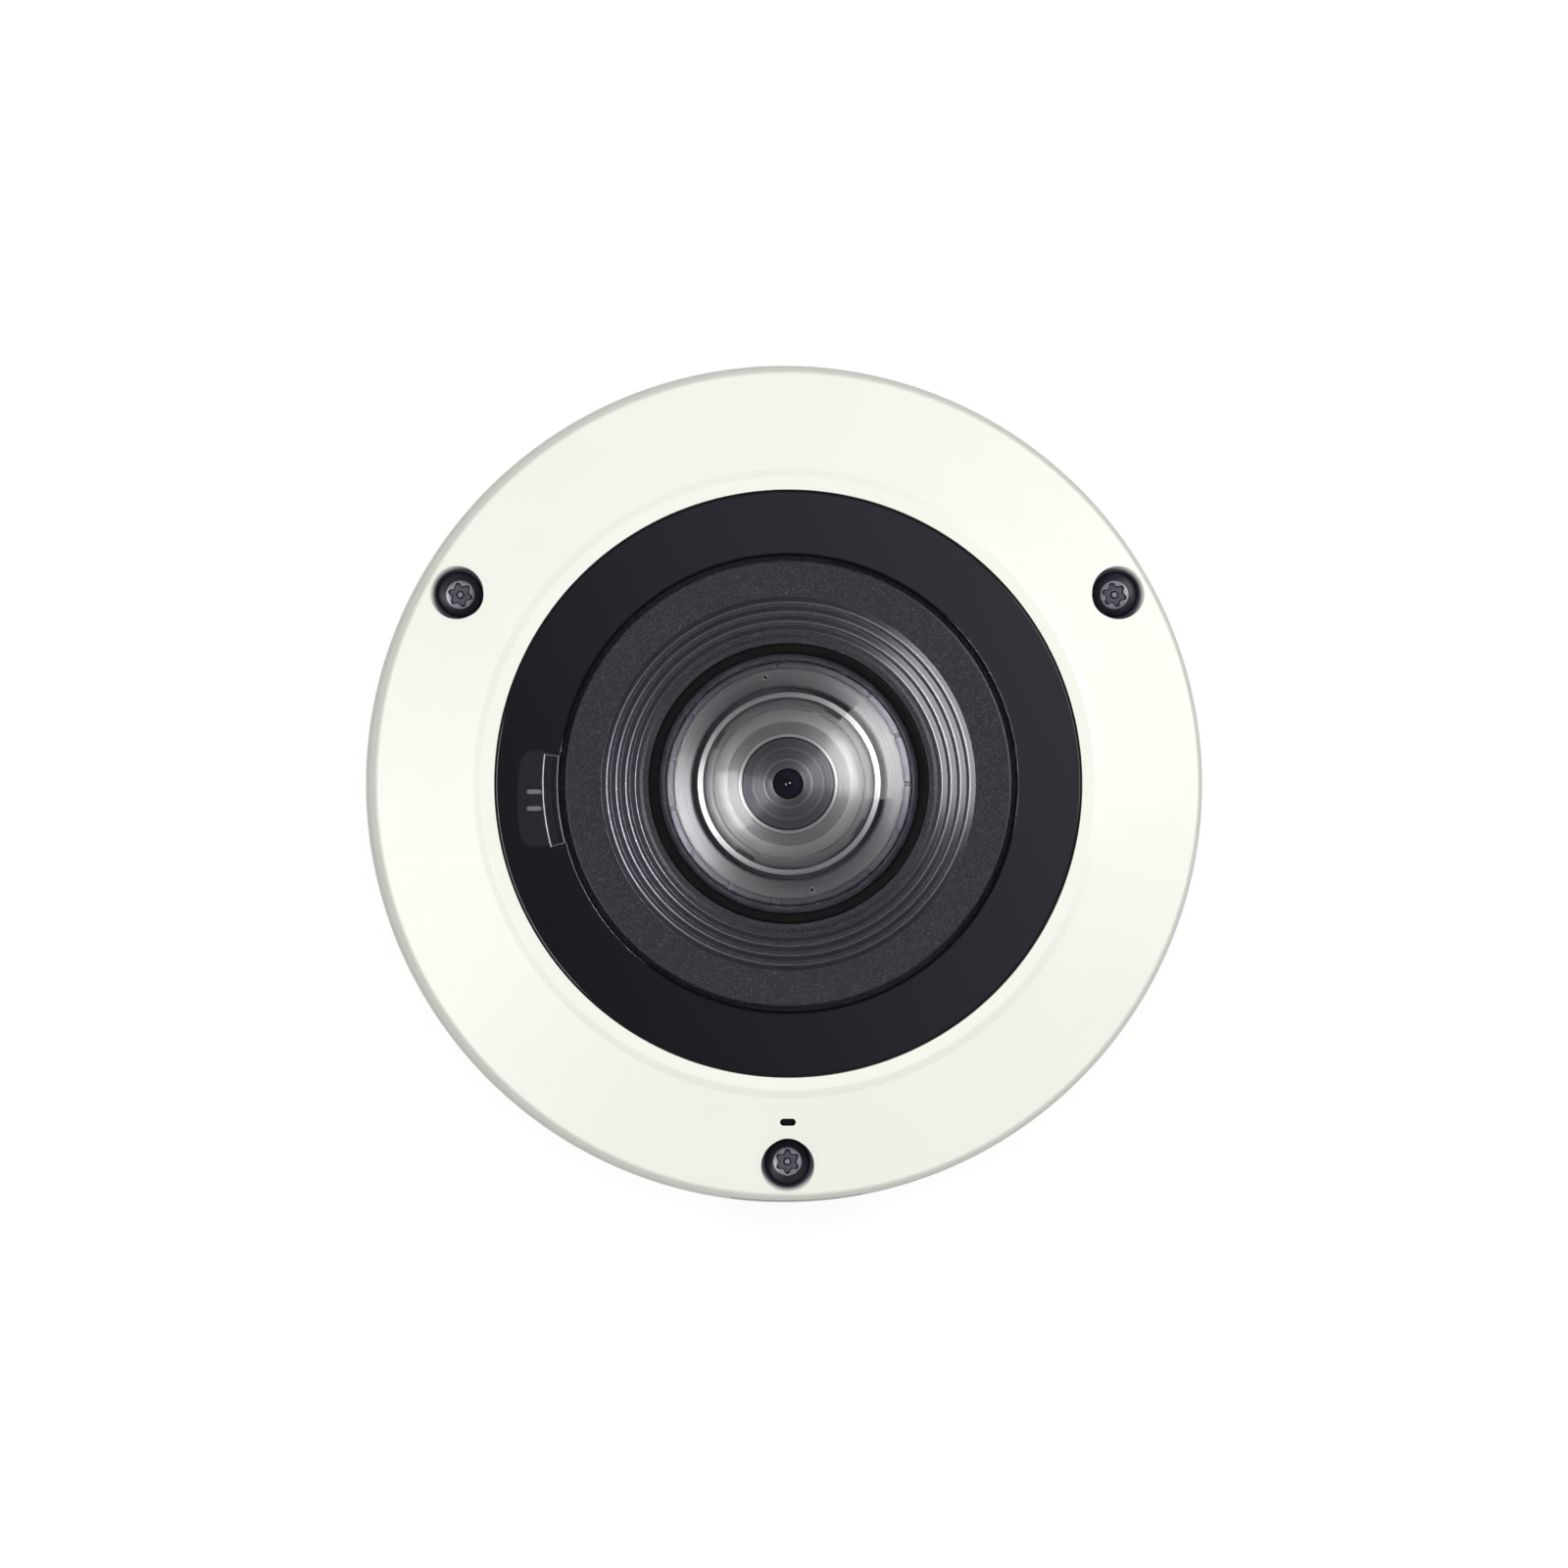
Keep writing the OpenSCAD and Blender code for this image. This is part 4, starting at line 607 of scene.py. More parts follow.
@dataclass(frozen=True)
class SmokedWindow(Finish):
    """Polished infrared-pass black, a shade thinner over the light sensor."""

    colour: str = "#0E0E13"
    thin: str = "#202024"
    mark: str = "#8C8C90"
    tab_centre: Pair = (-43.4, -2.6)
    tab_half: Pair = (3.2, 8.0)
    tab_soft: float = 0.25
    marks: tuple[Pair, ...] = ((-43.9, -1.4), (-43.9, -4.3))
    mark_half: Pair = (1.1, 0.34)
    mark_soft: float = 1.2
    mark_share: float = 0.6
    squareness: float = 3.5
    roughness: float = 0.07
    swing: float = 0.03
    wipe_mm: float = 30.0
    ior: float = 1.49

    def within(self, graph: Graph, centre: Pair, half: Pair, soft: float) -> Socket:
        """A share that is 1 inside a rounded patch and falls to 0 over a soft edge."""
        (x, y), (wide, high) = centre, half
        inputs = {
            "Vector": graph.where,
            "Location": (-x / wide, -y / high, 0),
            "Scale": (1 / (wide * MM), 1 / (high * MM), 0),
        }
        place = graph.add("Mapping", inputs).outputs[0]
        gaps = graph.add("SeparateXYZ", {0: graph.vector("ABSOLUTE", place, gives="Vector")})
        powers = [graph.math("POWER", gaps.outputs[i], self.squareness) for i in (0, 1)]
        return graph.fit(graph.math("ADD", *powers), (1.0, 1.0 + soft), (1.0, 0.0))

    def dress(self, graph: Graph) -> None:
        """Draws the thin patch and the solder seen through it."""
        thin = self.within(graph, self.tab_centre, self.tab_half, self.tab_soft)
        tint = graph.blend(thin, self.colour, self.thin)
        for mark in self.marks:
            spot = self.within(graph, mark, self.mark_half, self.mark_soft)
            tint = graph.blend(graph.math("MULTIPLY", spot, self.mark_share), tint, self.mark)
        wipe = graph.noise(self.wipe_mm)
        rough = graph.fit(wipe, SPAN, spread(self.roughness, self.swing))
        graph.wear(tint, rough, IOR=self.ior)


@dataclass(frozen=True)
class CircuitBoard(Finish):
    """Solder resist over copper tracks, with tinned pads."""

    resist: str = "#1D5B3A"
    track: str = "#2F7A4E"
    pad: str = "#C9C6B4"
    track_mm: float = 0.8
    pad_mm: float = 3.1
    field_mm: float = 7.0
    track_edge: Pair = (0.72, 0.8)
    turned_above: Pair = (0.5, 0.51)
    tracked_above: Pair = (0.3, 0.31)
    pad_edge: Pair = (0.1, 0.13)
    pad_scatter: float = 0.8
    roughness: Pair = (0.32, 0.24)
    depth_mm: float = 0.03

    def dress(self, graph: Graph) -> None:
        """Draws fields of tracks, each along X or Y or bare, and pads."""
        fields = graph.cells(self.field_mm, distance="CHEBYCHEV").outputs["Color"]
        chance = graph.add("SeparateColor", {0: fields}).outputs
        scale = per_metre(self.track_mm) / WAVES_PER_UNIT
        lines = [graph.fit(graph.waves(scale, way), self.track_edge) for way in "XY"]
        turned_share = graph.fit(chance[0], self.turned_above)
        either = graph.add("Mix", {0: turned_share, 2: lines[0], 3: lines[1]}).outputs[0]
        net = graph.math("MULTIPLY", either, graph.fit(chance[1], self.tracked_above))
        dots = graph.cells(self.pad_mm)
        graph.feed(dots, {"Randomness": self.pad_scatter})
        tinned = graph.fit(dots.outputs["Distance"], self.pad_edge, (1.0, 0.0))
        copper = graph.blend(net, self.resist, self.track)
        tint, rough = graph.blend(tinned, copper, self.pad), graph.fit(tinned, UNIT, self.roughness)
        graph.wear(tint, rough, Normal=graph.bump(net, self.depth_mm))


@dataclass(frozen=True)
class Striped(Finish):
    """A surface of fine parallel lines, such as wound wire or the tracks of a ribbon."""

    colour: str
    groove: str
    line_mm: float
    direction: str
    metallic: float
    roughness: float
    depth_mm: float
    waves_per_unit: float = 3.2

    def dress(self, graph: Graph) -> None:
        """Draws the lines."""
        scale = per_metre(self.line_mm) / self.waves_per_unit
        lines = graph.waves(scale, self.direction)
        tint = graph.blend(lines, self.groove, self.colour)
        relief = graph.bump(lines, self.depth_mm)
        graph.wear(tint, self.roughness, Normal=relief, Metallic=self.metallic)


@dataclass(frozen=True)
class RecessShadedPaint(Moulded):
    """Powder coat on the sloped face, darkened to bluish grey down the screws' recesses as painted
    shade.
    """

    # Bluish grey of the painted shade deep in the screws' recesses
    bare: str = "#413E4F"
    reach: Pair = (5.4, 5.6)
    fade: Pair = (0.0, 1.5)
    edge: Pair = (71.25, 25.0)
    slope: float = 0.3264

    def near_recess(self, graph: Graph, flat: Socket) -> Socket:
        """A share that is 1 close to a screw's axis and 0 elsewhere."""
        near: Socket | None = None
        for angle in SCREW_ANGLES:
            x, y = around(SCREW_DISTANCE, angle)
            gap = graph.vector("DISTANCE", flat, (x * MM, y * MM, 0))
            near = gap if near is None else graph.math("MINIMUM", near, gap)
        return graph.fit(near, (self.reach[0] * MM, self.reach[1] * MM), (1.0, 0.0))

    def dress(self, graph: Graph) -> None:
        """Sets the paint up, then darkens the recesses by their depth as painted shade."""
        super().dress(graph)
        flat = graph.vector("MULTIPLY", graph.where, FLATTEN, gives="Vector")
        radius = graph.vector("LENGTH", flat)
        high = graph.add("SeparateXYZ", {0: graph.where}).outputs["Z"]
        below_edge = graph.math("MULTIPLY_ADD", radius, self.slope, high)
        edge_radius, edge_height = (length * MM for length in self.edge)
        top = edge_height + edge_radius * self.slope
        depths = (top - self.fade[1] * MM, top - self.fade[0] * MM)
        # Share of painted shade: 0 at the level of the sloped face, 1 at the fade's full depth
        # below it
        thin = graph.fit(below_edge, depths, (1.0, 0.0))
        share = graph.math("MULTIPLY", thin, self.near_recess(graph, flat))
        paint = graph.shader.inputs["Base Color"].links[0].from_socket
        graph.feed(graph.shader, {"Base Color": graph.blend(share, paint, self.bare)})


# Finishes of this camera

# Satin polyester powder coat over die-cast metal: warm off-white with a barely visible orange peel,
# and painted shade down the screws' recesses
IVORY_COAT = RecessShadedPaint(
    "ivory_powder_coat", "#F4F5EB", "#F2F3E9", 22.0, 0.46, 0.04, 1.1, 0.012, ior=1.5
)
# Same powder coat on the sunk base, seen only as a shaded strip beside the cover
BASE_COAT = Moulded("base_powder_coat", "#E8E9E0", "#E5E6DC", 22.0, 0.5, 0.04, 1.1, 0.012)
# Moulded EPDM rubber: deep matt black with a soft sheen
SEAL_RUBBER = Moulded("epdm_rubber", "#060608", "#09090B", 3.0, 0.82, 0.08, 0.5, 0.008, ior=1.25)
# Closed-cell foam rubber, cut from sheet: dull black with open pores
FOAM_RUBBER = Moulded("foam_rubber", "#121214", "#0C0C0E", 1.4, 0.85, 0.05, 0.45, 0.09)
# Injection-moulded ABS blank, matt lilac grey
PLUG_GREY = Moulded("grey_abs", "#8E8D97", "#868590", 6.0, 0.55, 0.06, 0.7, 0.012)
# Natural nylon: milky white with a dull gloss
NYLON = Moulded("natural_nylon", "#E9E8E0", "#E2E1D8", 5.0, 0.42, 0.06, 1.2, 0.008, ior=1.53)
# Polished infrared-pass acrylic: mirror-like black that holds soft reflections
WINDOW_BLACK = SmokedWindow("infrared_pass_acrylic")
# Clear polycarbonate moulding: glassy arc, whose bright edges are a painted highlight
CLEAR_INSERT = Clear("clear_polycarbonate", "#F2F4F8", 0.02, 1.58, 0.03, 5.0, "#D8D8DE")
# Hard-coated polycarbonate dome: water-clear, with clean reflections
DOME_CLEAR = Clear("hard_coated_dome", "#FFFFFF", 0.0, 1.49, 0.0, 20.0, "#F6F6F6", "#777777")
# Foot of the dome, frosted where it is clamped: it reads as a dark grey rim inside the seal
DOME_FOOT = Moulded("frosted_dome_foot", "#83828C", "#75747E", 3.0, 0.5, 0.06, 0.4, 0.006, ior=1.49)
# Polished edges of the clear insert, painted pale as a painted highlight for the light that they
# gather
INSERT_EDGE_HIGHLIGHT = Moulded(
    "insert_edge_painted_highlight", "#D4D3D8", "#C6C5CC", 2.0, 0.2, 0.04, 0.5, 0.002, ior=1.58
)
# Its shorter edges, with a dimmer painted highlight
INSERT_END_HIGHLIGHT = Moulded("insert_end_painted_highlight", "#77767F", "#66656E", 2.0, 0.25, 0.04, 0.5, 0.002, ior=1.58)
# Charcoal ABS from a spark-eroded mould, with metal flake: dark grain that sparkles
BEZEL_CHARCOAL = SparkEroded("flaked_charcoal_abs")
# Steps of the bezel: the same plastic, glossier, with a paler colour on the outward slopes as
# painted sheen
BEZEL_SLOPE_SHEEN = SparkEroded(
    "charcoal_slope_painted_sheen", "#1B1A21", "#302F37", "#65636F", 0.22, 0.1, 0.08, 0.01, 0.34, ior=1.75
)
# Crests of the steps: pale, nearly metallic grey as a painted highlight along their whole length
BEZEL_CREST_HIGHLIGHT = SparkEroded(
    "crest_painted_highlight", "#85838D", "#94929D", "#B0AEB9", 0.22, 0.1, 0.08, 0.002, 0.36, 1.5, 0.9
)
# Black oxide on hardened steel: dark satin heads with bluish highlights
BLACK_STEEL = Moulded(
    "black_oxide_steel", "#1B1B22", "#25242E", 2.5, 0.5, 0.07, 0.25, 0.008, ior=1.5
)
# Floor and flanks of the star sockets: broached steel under thin black, so paler
SOCKET_STEEL = Moulded("broached_steel", "#4C4A56", "#3E3C48", 0.8, 0.42, 0.06, 0.2, 0.006, ior=1.8)
# Lands between the star and its rim: worn bright
LAND_STEEL = Moulded("worn_steel", "#85848E", "#6E6D77", 0.7, 0.36, 0.06, 0.2, 0.006, ior=1.8)
# Nickel and zinc plate on small screws and shells: bright with a soft blur
BRIGHT_STEEL = Moulded(
    "nickel_plate", "#C6C5C0", "#BDBCB8", 4.0, 0.3, 0.06, 0.4, 0.003, metallic=1.0
)
# Turned brass stand-offs: yellow metal, slightly tarnished
BRASS = Moulded("turned_brass", "#CFA855", "#BC9645", 3.0, 0.32, 0.06, 0.3, 0.003, metallic=1.0)
# Spun aluminium with clear anodising: silver fans of light
RING_SILVER = Spun("turned_aluminium", "#C4C3C5", "#B1B0B3", 0.52, 0.97)
# Brighter polished aluminium of the inner rings
RING_BRIGHT = Spun("polished_aluminium", "#F2F2F2", "#E6E6E7", 0.52, 0.97)
# Grey anodised aluminium of the toothed nut
RING_GREY = Spun("grey_anodised_aluminium", "#9B9AA4", "#8A8993", 0.54, 0.95)
# Smoke anodised aluminium of the stop's steps: darker than the rings above, with the same fans
RING_STEP = Spun("smoke_anodised_aluminium", "#97969F", "#807F88", 0.57, 0.97)
# Black anodised aluminium of the barrel: dark, with faint turning lines
RING_DARK = Spun("black_anodised_aluminium", "#5A5A62", "#4C4C54", 0.5, 0.95, metallic=0.9)
# Crown glass with an anti-reflex coat: nearly invisible, with a faint violet tint
LENS_GLASS = Clear("coated_crown_glass", "#FDFCFB", 0.0, 1.52, 0.0, 9.0, "#F2F2F2", "#4A4A54")
# Matt charcoal glass-filled nylon of the hidden frames
FRAME_PLASTIC = Moulded("glass_filled_nylon", "#2B2B30", "#303036", 4.0, 0.58, 0.07, 0.5, 0.02)
# Interference-coated filter glass: pale cyan
FILTER_GLASS = Clear("interference_filter_glass", "#A9DDE2", 0.0, 1.52, 0.01, 6.0, "#B8E4E8")
# Bonded magnet of the rotor: dull grey, granular
MAGNET_GREY = Moulded(
    "bonded_magnet", "#4C4C50", "#3E3E42", 0.7, 0.6, 0.08, 0.3, 0.02, metallic=0.4
)
# Enamelled copper winding: orange-brown turns side by side
COPPER_WIRE = Striped("enamelled_copper", "#C06A34", "#5A2810", 0.16, "X", 0.9, 0.3, 0.04)
# Glass-epoxy board with green solder resist over copper tracks
BOARD_GREEN = CircuitBoard("green_circuit_board")
# Glass-epoxy board with white solder resist for the lights
BOARD_WHITE = CircuitBoard("white_circuit_board", "#E4E4DE", "#D6D6CF", "#BFBDB2", 1.0, 4.4)
# Epoxy moulding compound of chips: sooty black, faintly speckled
CHIP_BLACK = Moulded("epoxy_moulding_compound", "#1B1B1D", "#222224", 1.2, 0.52, 0.08, 0.18, 0.008)
# Cover glass over the sensor: deep blue-green gloss
SENSOR_DARK = Moulded(
    "sensor_cover_glass", "#131A26", "#1B1F34", 3.4, 0.06, 0.02, 2.0, 0.0, ior=1.55
)
# Polyimide ribbon with copper tracks: amber lines
RIBBON_AMBER = Striped("polyimide_ribbon", "#C07A2C", "#96561A", 0.8, "Y", 0.0, 0.34, 0.02)
# Pressed aluminium plate with rolling marks: pale grey metal
CHASSIS_METAL = Moulded(
    "rolled_aluminium", "#C9CACC", "#BEBFC2", 12.0, 0.36, 0.07, 0.5, 0.004, metallic=1.0
)
# Silicone gap filler: soft dusty pink
PAD_PINK = Moulded("silicone_gap_filler", "#D98F9C", "#CC8190", 2.0, 0.7, 0.06, 0.6, 0.03)
# Glass-filled polyamide of the terminal: leaf green
TERMINAL_GREEN = Moulded("terminal_polyamide", "#3E9A55", "#388E4D", 3.0, 0.5, 0.06, 0.5, 0.012)
# Clear epoxy over the infrared chips: pale straw, glossy
LIGHT_CLEAR = Moulded(
    "clear_epoxy", "#EFE9CF", "#E6DDB8", 1.6, 0.1, 0.03, 1.0, 0.004, ior=1.54, coat=0.4
)
# Cemented rear glass with a deep coat, so its core reads dark violet
REAR_GLASS = Moulded("coated_rear_glass", "#0B0A12", "#141024", 2.4, 0.05, 0.02, 2.0, 0.0, ior=1.9)


# Housing


@dataclass(frozen=True)
class Turning:
    """A piece that is turned and then dressed."""

    name: str
    section: list[Pair]
    finish: Finish
    body: Body
    slot: str
    node: str
    steps: int = TURN_STEPS
    smooth_deg: float = SMOOTH_DEG
    centre: Pair = (0.0, 0.0)

    def build(self, *cuts: Obj) -> Obj:
        """Turns the piece, takes the cuts away and settles it."""
        piece = turned(self.name, self.section, self.steps, self.centre, self.smooth_deg)
        for cut in cuts:
            combine(piece, cut)
        if cuts:
            shade(piece, self.smooth_deg)
        return settle(piece, self.finish, self.body, self.slot, self.node)


@dataclass(frozen=True)
class Housing:
    """The sunk base with its small fittings, and the ivory cover."""

    radius: float = 72.48
    base_high: float = 14.0
    floor: float = 3.0
    wall: float = 4.2
    draft: float = 0.5
    skirt_low: float = 14.3
    rim: float = 25.0
    rim_radius: float = 71.25
    face: float = 30.5
    face_radius: float = 54.4
    collar: float = 31.4
    collar_radius: float = 53.0
    bore: float = 50.82
    seat: float = 28.3
    ledge: float = 26.7
    ledge_radius: float = 49.0
    skin: float = 2.6
    recess_floor: float = 22.7
    recess_lean: float = 0.75
    post_angles: tuple[float, ...] = (45.0, 135.0, 225.0, 315.0)
    ear_angles: tuple[float, ...] = (0.0, 120.0, 240.0)
    ceiling_angles: tuple[float, ...] = (90.0, 210.0, 330.0)
    post_distance: float = 42.0
    ear_distance: float = 50.2
    ceiling_distance: float = 56.0
    cable: Pair = around(51.0, 255.0)
    vent: Pair = around(56.0, 50.0)
    plug_deg: float = 271.7
    plug_fit: float = 0.06
    plug_grooves: int = 9
    groove_deg: float = 1.75
    vent_slots: int = 6
    mic_slot: Pair = (2.76, 1.24)
    mic_y: float = -58.5

    def build(self) -> None:
        """Builds every piece of the housing."""
        self.build_base()
        self.build_side_plug()
        self.build_fittings()
        self.build_cover()

    def build_base(self) -> None:
        """The cast base: a cup with bosses, board posts, a gasket groove and its openings."""
        top, high, floor = self.radius - self.draft, self.base_high, self.floor
        inner, groove = top - self.wall, top - self.wall / 2
        cup = [
            (self.radius - 0.6, 0.0, 0.0), (self.radius, 0.6, 0.5), (top, high, 0.35),
            (groove + 1.0, high, 0.2), (groove + 1.0, high - 1.6, 0.15),
            (groove - 1.0, high - 1.6, 0.15), (groove - 1.0, high, 0.2),
            (inner, high, 0.35), (inner, floor, 0.8), (inner - 4.0, floor, 0.0),
        ]
        boss = [
            (1.65, floor - 0.5), (4.6, floor - 0.5), (4.4, floor + 0.9), (4.4, high - 0.4),
            (4.2, high - 0.2), (2.3, high - 0.2), (2.1, high - 0.5), (2.1, 3.8), (1.65, 3.6),
        ]
        post = [
            (0.0, floor - 0.4), (3.8, floor - 0.4), (3.8, floor), (3.0, floor + 0.9),
            (3.0, 4.8), (2.8, 5.0), (0.0, 5.0),
        ]
        section = [(0.0, 0.0), *filleted(cup, closed=False), (0.0, floor)]
        base = turned("base_casting", section, FINE_STEPS)
        for angle in SCREW_ANGLES:
            place = around(SCREW_DISTANCE, angle)
            piece = turned("boss", boss, SMALL_STEPS, place)
            combine(piece, plug_tool(top - 2.0, -5.0, 60.0, TURN_STEPS), Cut.WITHIN)
            combine(base, piece, Cut.TOGETHER)
            combine(base, plug_tool(2.1, 3.8, 20.0, SMALL_STEPS, place))
        for angle in self.post_angles:
            place = around(self.post_distance, angle)
            combine(base, turned("post", post, SMALL_STEPS, place), Cut.TOGETHER)
        holes = [(2.5, around(self.ceiling_distance, angle)) for angle in self.ceiling_angles]
        for radius, place in (*holes, (8.5, self.cable), (3.0, self.vent)):
            flare, wide = radius + 0.3, radius + 1.3
            drill = [(0.0, -1.0), (wide, -1.0), (flare, 0.0), (radius, 0.3)]
            drill += [(radius, floor - 0.3), (flare, floor), (wide, 4.0), (0.0, 4.0)]
            combine(base, turned("drill", drill, SMALL_STEPS, place))
        combine(base, self.notch_tool("notch_tool", 0.0))
        shade(base)
        settle(base, BASE_COAT, Body.BASE, "ivory_paint", "base_housing")

    def notch_tool(self, name: str, fit: float) -> Obj:
        """The room that the side plug fills, less a fit on every side."""
        inner, high = self.radius - self.draft - 2.2 + fit, 9.0 - fit
        centre = (inner + 3.0, 0.0, 8.0 - fit - high / 2)
        return block(name, (6.0, 23.0 - 2 * fit, high), centre, self.plug_deg)

    def build_side_plug(self) -> None:
        """The blank in the side cable notch, with a saw-tooth grip along its top."""
        plug = self.notch_tool("side_blank", self.plug_fit)
        out = self.radius
        form = [(0.0, 0.06), (out - 0.65, 0.06), (out - 0.05, 0.6), (out - 0.3, 8.5), (0.0, 8.5)]
        combine(plug, turned("form", form, FINE_STEPS), Cut.WITHIN)
        for i in range(self.plug_grooves):
            angle = self.plug_deg + (i - self.plug_grooves // 2) * self.groove_deg
            combine(plug, plug_tool(0.75, 1.6, 6.6, 24, around(out + 0.35, angle)))
        soften(plug, 0.12)
        settle(plug, PLUG_GREY, Body.BASE, "plug_grey", "side_plug")

    def build_fittings(self) -> None:
        """The cable grommet with its lip and waist, and the breather's slotted plug."""
        grommet = [
            (3.2, 0.35, 0.25), (7.4, 0.1, 0.2), (8.45, 0.6, 0.3), (8.45, 3.05, 0.1),
            (10.05, 3.05, 0.35), (9.9, 4.5, 0.5), (4.6, 4.5, 0.5), (4.3, 3.9, 0.3), (3.2, 3.7, 0.3),
        ]
        Turning(
            "grommet_rubber", filleted(grommet), SEAL_RUBBER, Body.BASE, "seal_rubber",
            "cable_grommet", 96, centre=self.cable,
        ).build()
        cap = [
            (2.6, 0.1, 0.2), (2.95, 0.4, 0.2), (2.95, 3.05, 0.1), (4.0, 3.05, 0.2),
            (3.9, 4.2, 0.35), (1.2, 4.2, 0.2), (1.0, 3.9, 0.1),
        ]
        section = [(0.0, 0.3), *filleted(cap, closed=False), (0.0, 3.9)]
        vent = turned("breather_body", section, SMALL_STEPS, self.vent)
        for i in range(self.vent_slots):
            place = around(2.6, 360 / self.vent_slots * i, self.vent)
            combine(vent, plug_tool(0.28, 3.7, 5.0, 16, place))
        settle(vent, NYLON, Body.BASE, "nylon_white", "breather_vent")

    def under_face(self, radius: float) -> float:
        """Height of the underside of the sloped face at a distance from the axis."""
        slope = (self.face - self.rim) / (self.rim_radius - self.face_radius)
        return self.rim + (self.rim_radius - radius) * slope - self.skin

    def cover_section(self) -> list[Pair]:
        """Half section of the cover: skirt, rounded rim, sloped face, collar and ledge."""
        top, low, inside = self.radius - self.draft, self.skirt_low, self.bore + self.skin
        rim_in = self.rim_radius - self.skin
        return filleted([
            (top, low, 0.3), (self.rim_radius + 0.15, self.rim - 1.2, 2.0),
            (self.rim_radius - 0.2, self.rim + 0.02, 0.7), (self.face_radius, self.face, 1.2),
            (self.collar_radius, self.collar, 0.9), (self.bore, self.collar, 0.06),
            (self.bore, self.seat, 0.1), (self.ledge_radius, self.seat, 0.15),
            (self.ledge_radius, self.ledge, 0.3), (inside, self.ledge, 0.3),
            (inside, self.under_face(inside), 0.8), (rim_in, self.under_face(rim_in), 1.2),
            (rim_in, low + 3.2, 0.4), (top - 3.8, low + 2.0, 0.3), (top - 3.8, low, 0.3),
        ])

    def build_cover(self) -> None:
        """The cast cover with its screw posts, recesses, ears and microphone slot."""
        cover = turned("cover_casting", self.cover_section(), FINE_STEPS)
        post = [(0.0, 14.35), (6.0, 14.35), (6.2, 14.6), (6.4, 29.0), (0.0, 29.0)]
        form = [(0.0, 14.3), (71.8, 14.3), (70.9, 24.0), (70.4, 24.75), (54.4, 29.9), (0.0, 29.9)]
        ear = [(0.0, self.ledge), (2.3, self.ledge), (2.4, 26.9), (2.4, 28.6), (0.0, 28.6)]
        for angle in SCREW_ANGLES:
            piece = turned("post", post, SMALL_STEPS, around(SCREW_DISTANCE, angle))
            combine(piece, turned("form", form, FINE_STEPS), Cut.WITHIN)
            combine(cover, piece, Cut.TOGETHER)
        for angle in self.ear_angles:
            place = around(self.ear_distance, angle)
            combine(cover, turned("ear", ear, SMALL_STEPS, place), Cut.TOGETHER)
        for angle in SCREW_ANGLES:
            self.cut_recess(cover, angle)
        combine(cover, self.slot_tool())
        shade(cover)
        settle(cover, IVORY_COAT, Body.COVER, "ivory_paint", "cover")

    def cut_recess(self, cover: Obj, angle: float) -> None:
        """Cuts one screw's recess, drawn out softly on the downhill side."""
        place, low, sky = around(SCREW_DISTANCE, angle), self.recess_floor, 34.0
        pit = [(0.0, low, 0.0), (3.95, low, 0.1), (4.0, sky, 0.0), (0.0, sky, 0.0)]
        funnel = [
            (0.0, 22.75), (3.2, 22.75), (3.32, 23.2), (3.52, 23.75), (3.8, 24.3), (4.12, 24.8),
            (4.4, 25.15), (4.6, 25.3), (4.6, sky), (0.0, sky),
        ]
        through = [
            (0.0, 10.0), (3.55, 10.0), (3.55, 15.3), (2.2, 15.5), (2.2, 21.9), (3.25, 21.9),
            (3.25, 24.0), (0.0, 24.0),
        ]
        downhill = around(self.recess_lean, angle, place)
        combine(cover, turned("pit", filleted(pit, closed=False), SMALL_STEPS, place))
        combine(cover, turned("funnel", funnel, SMALL_STEPS, downhill))
        combine(cover, turned("through", through, SMALL_STEPS, place))

    def slot_tool(self) -> Obj:
        """The obround that cuts the microphone slot."""
        (length, width), y = self.mic_slot, self.mic_y
        half, radius = (length - width) / 2, width / 2
        outline = arc(half, y, radius, -90, 90, 14) + arc(-half, y, radius, 90, 270, 14)
        return prism("slot_tool", outline, 22.0, 34.0)


# Front


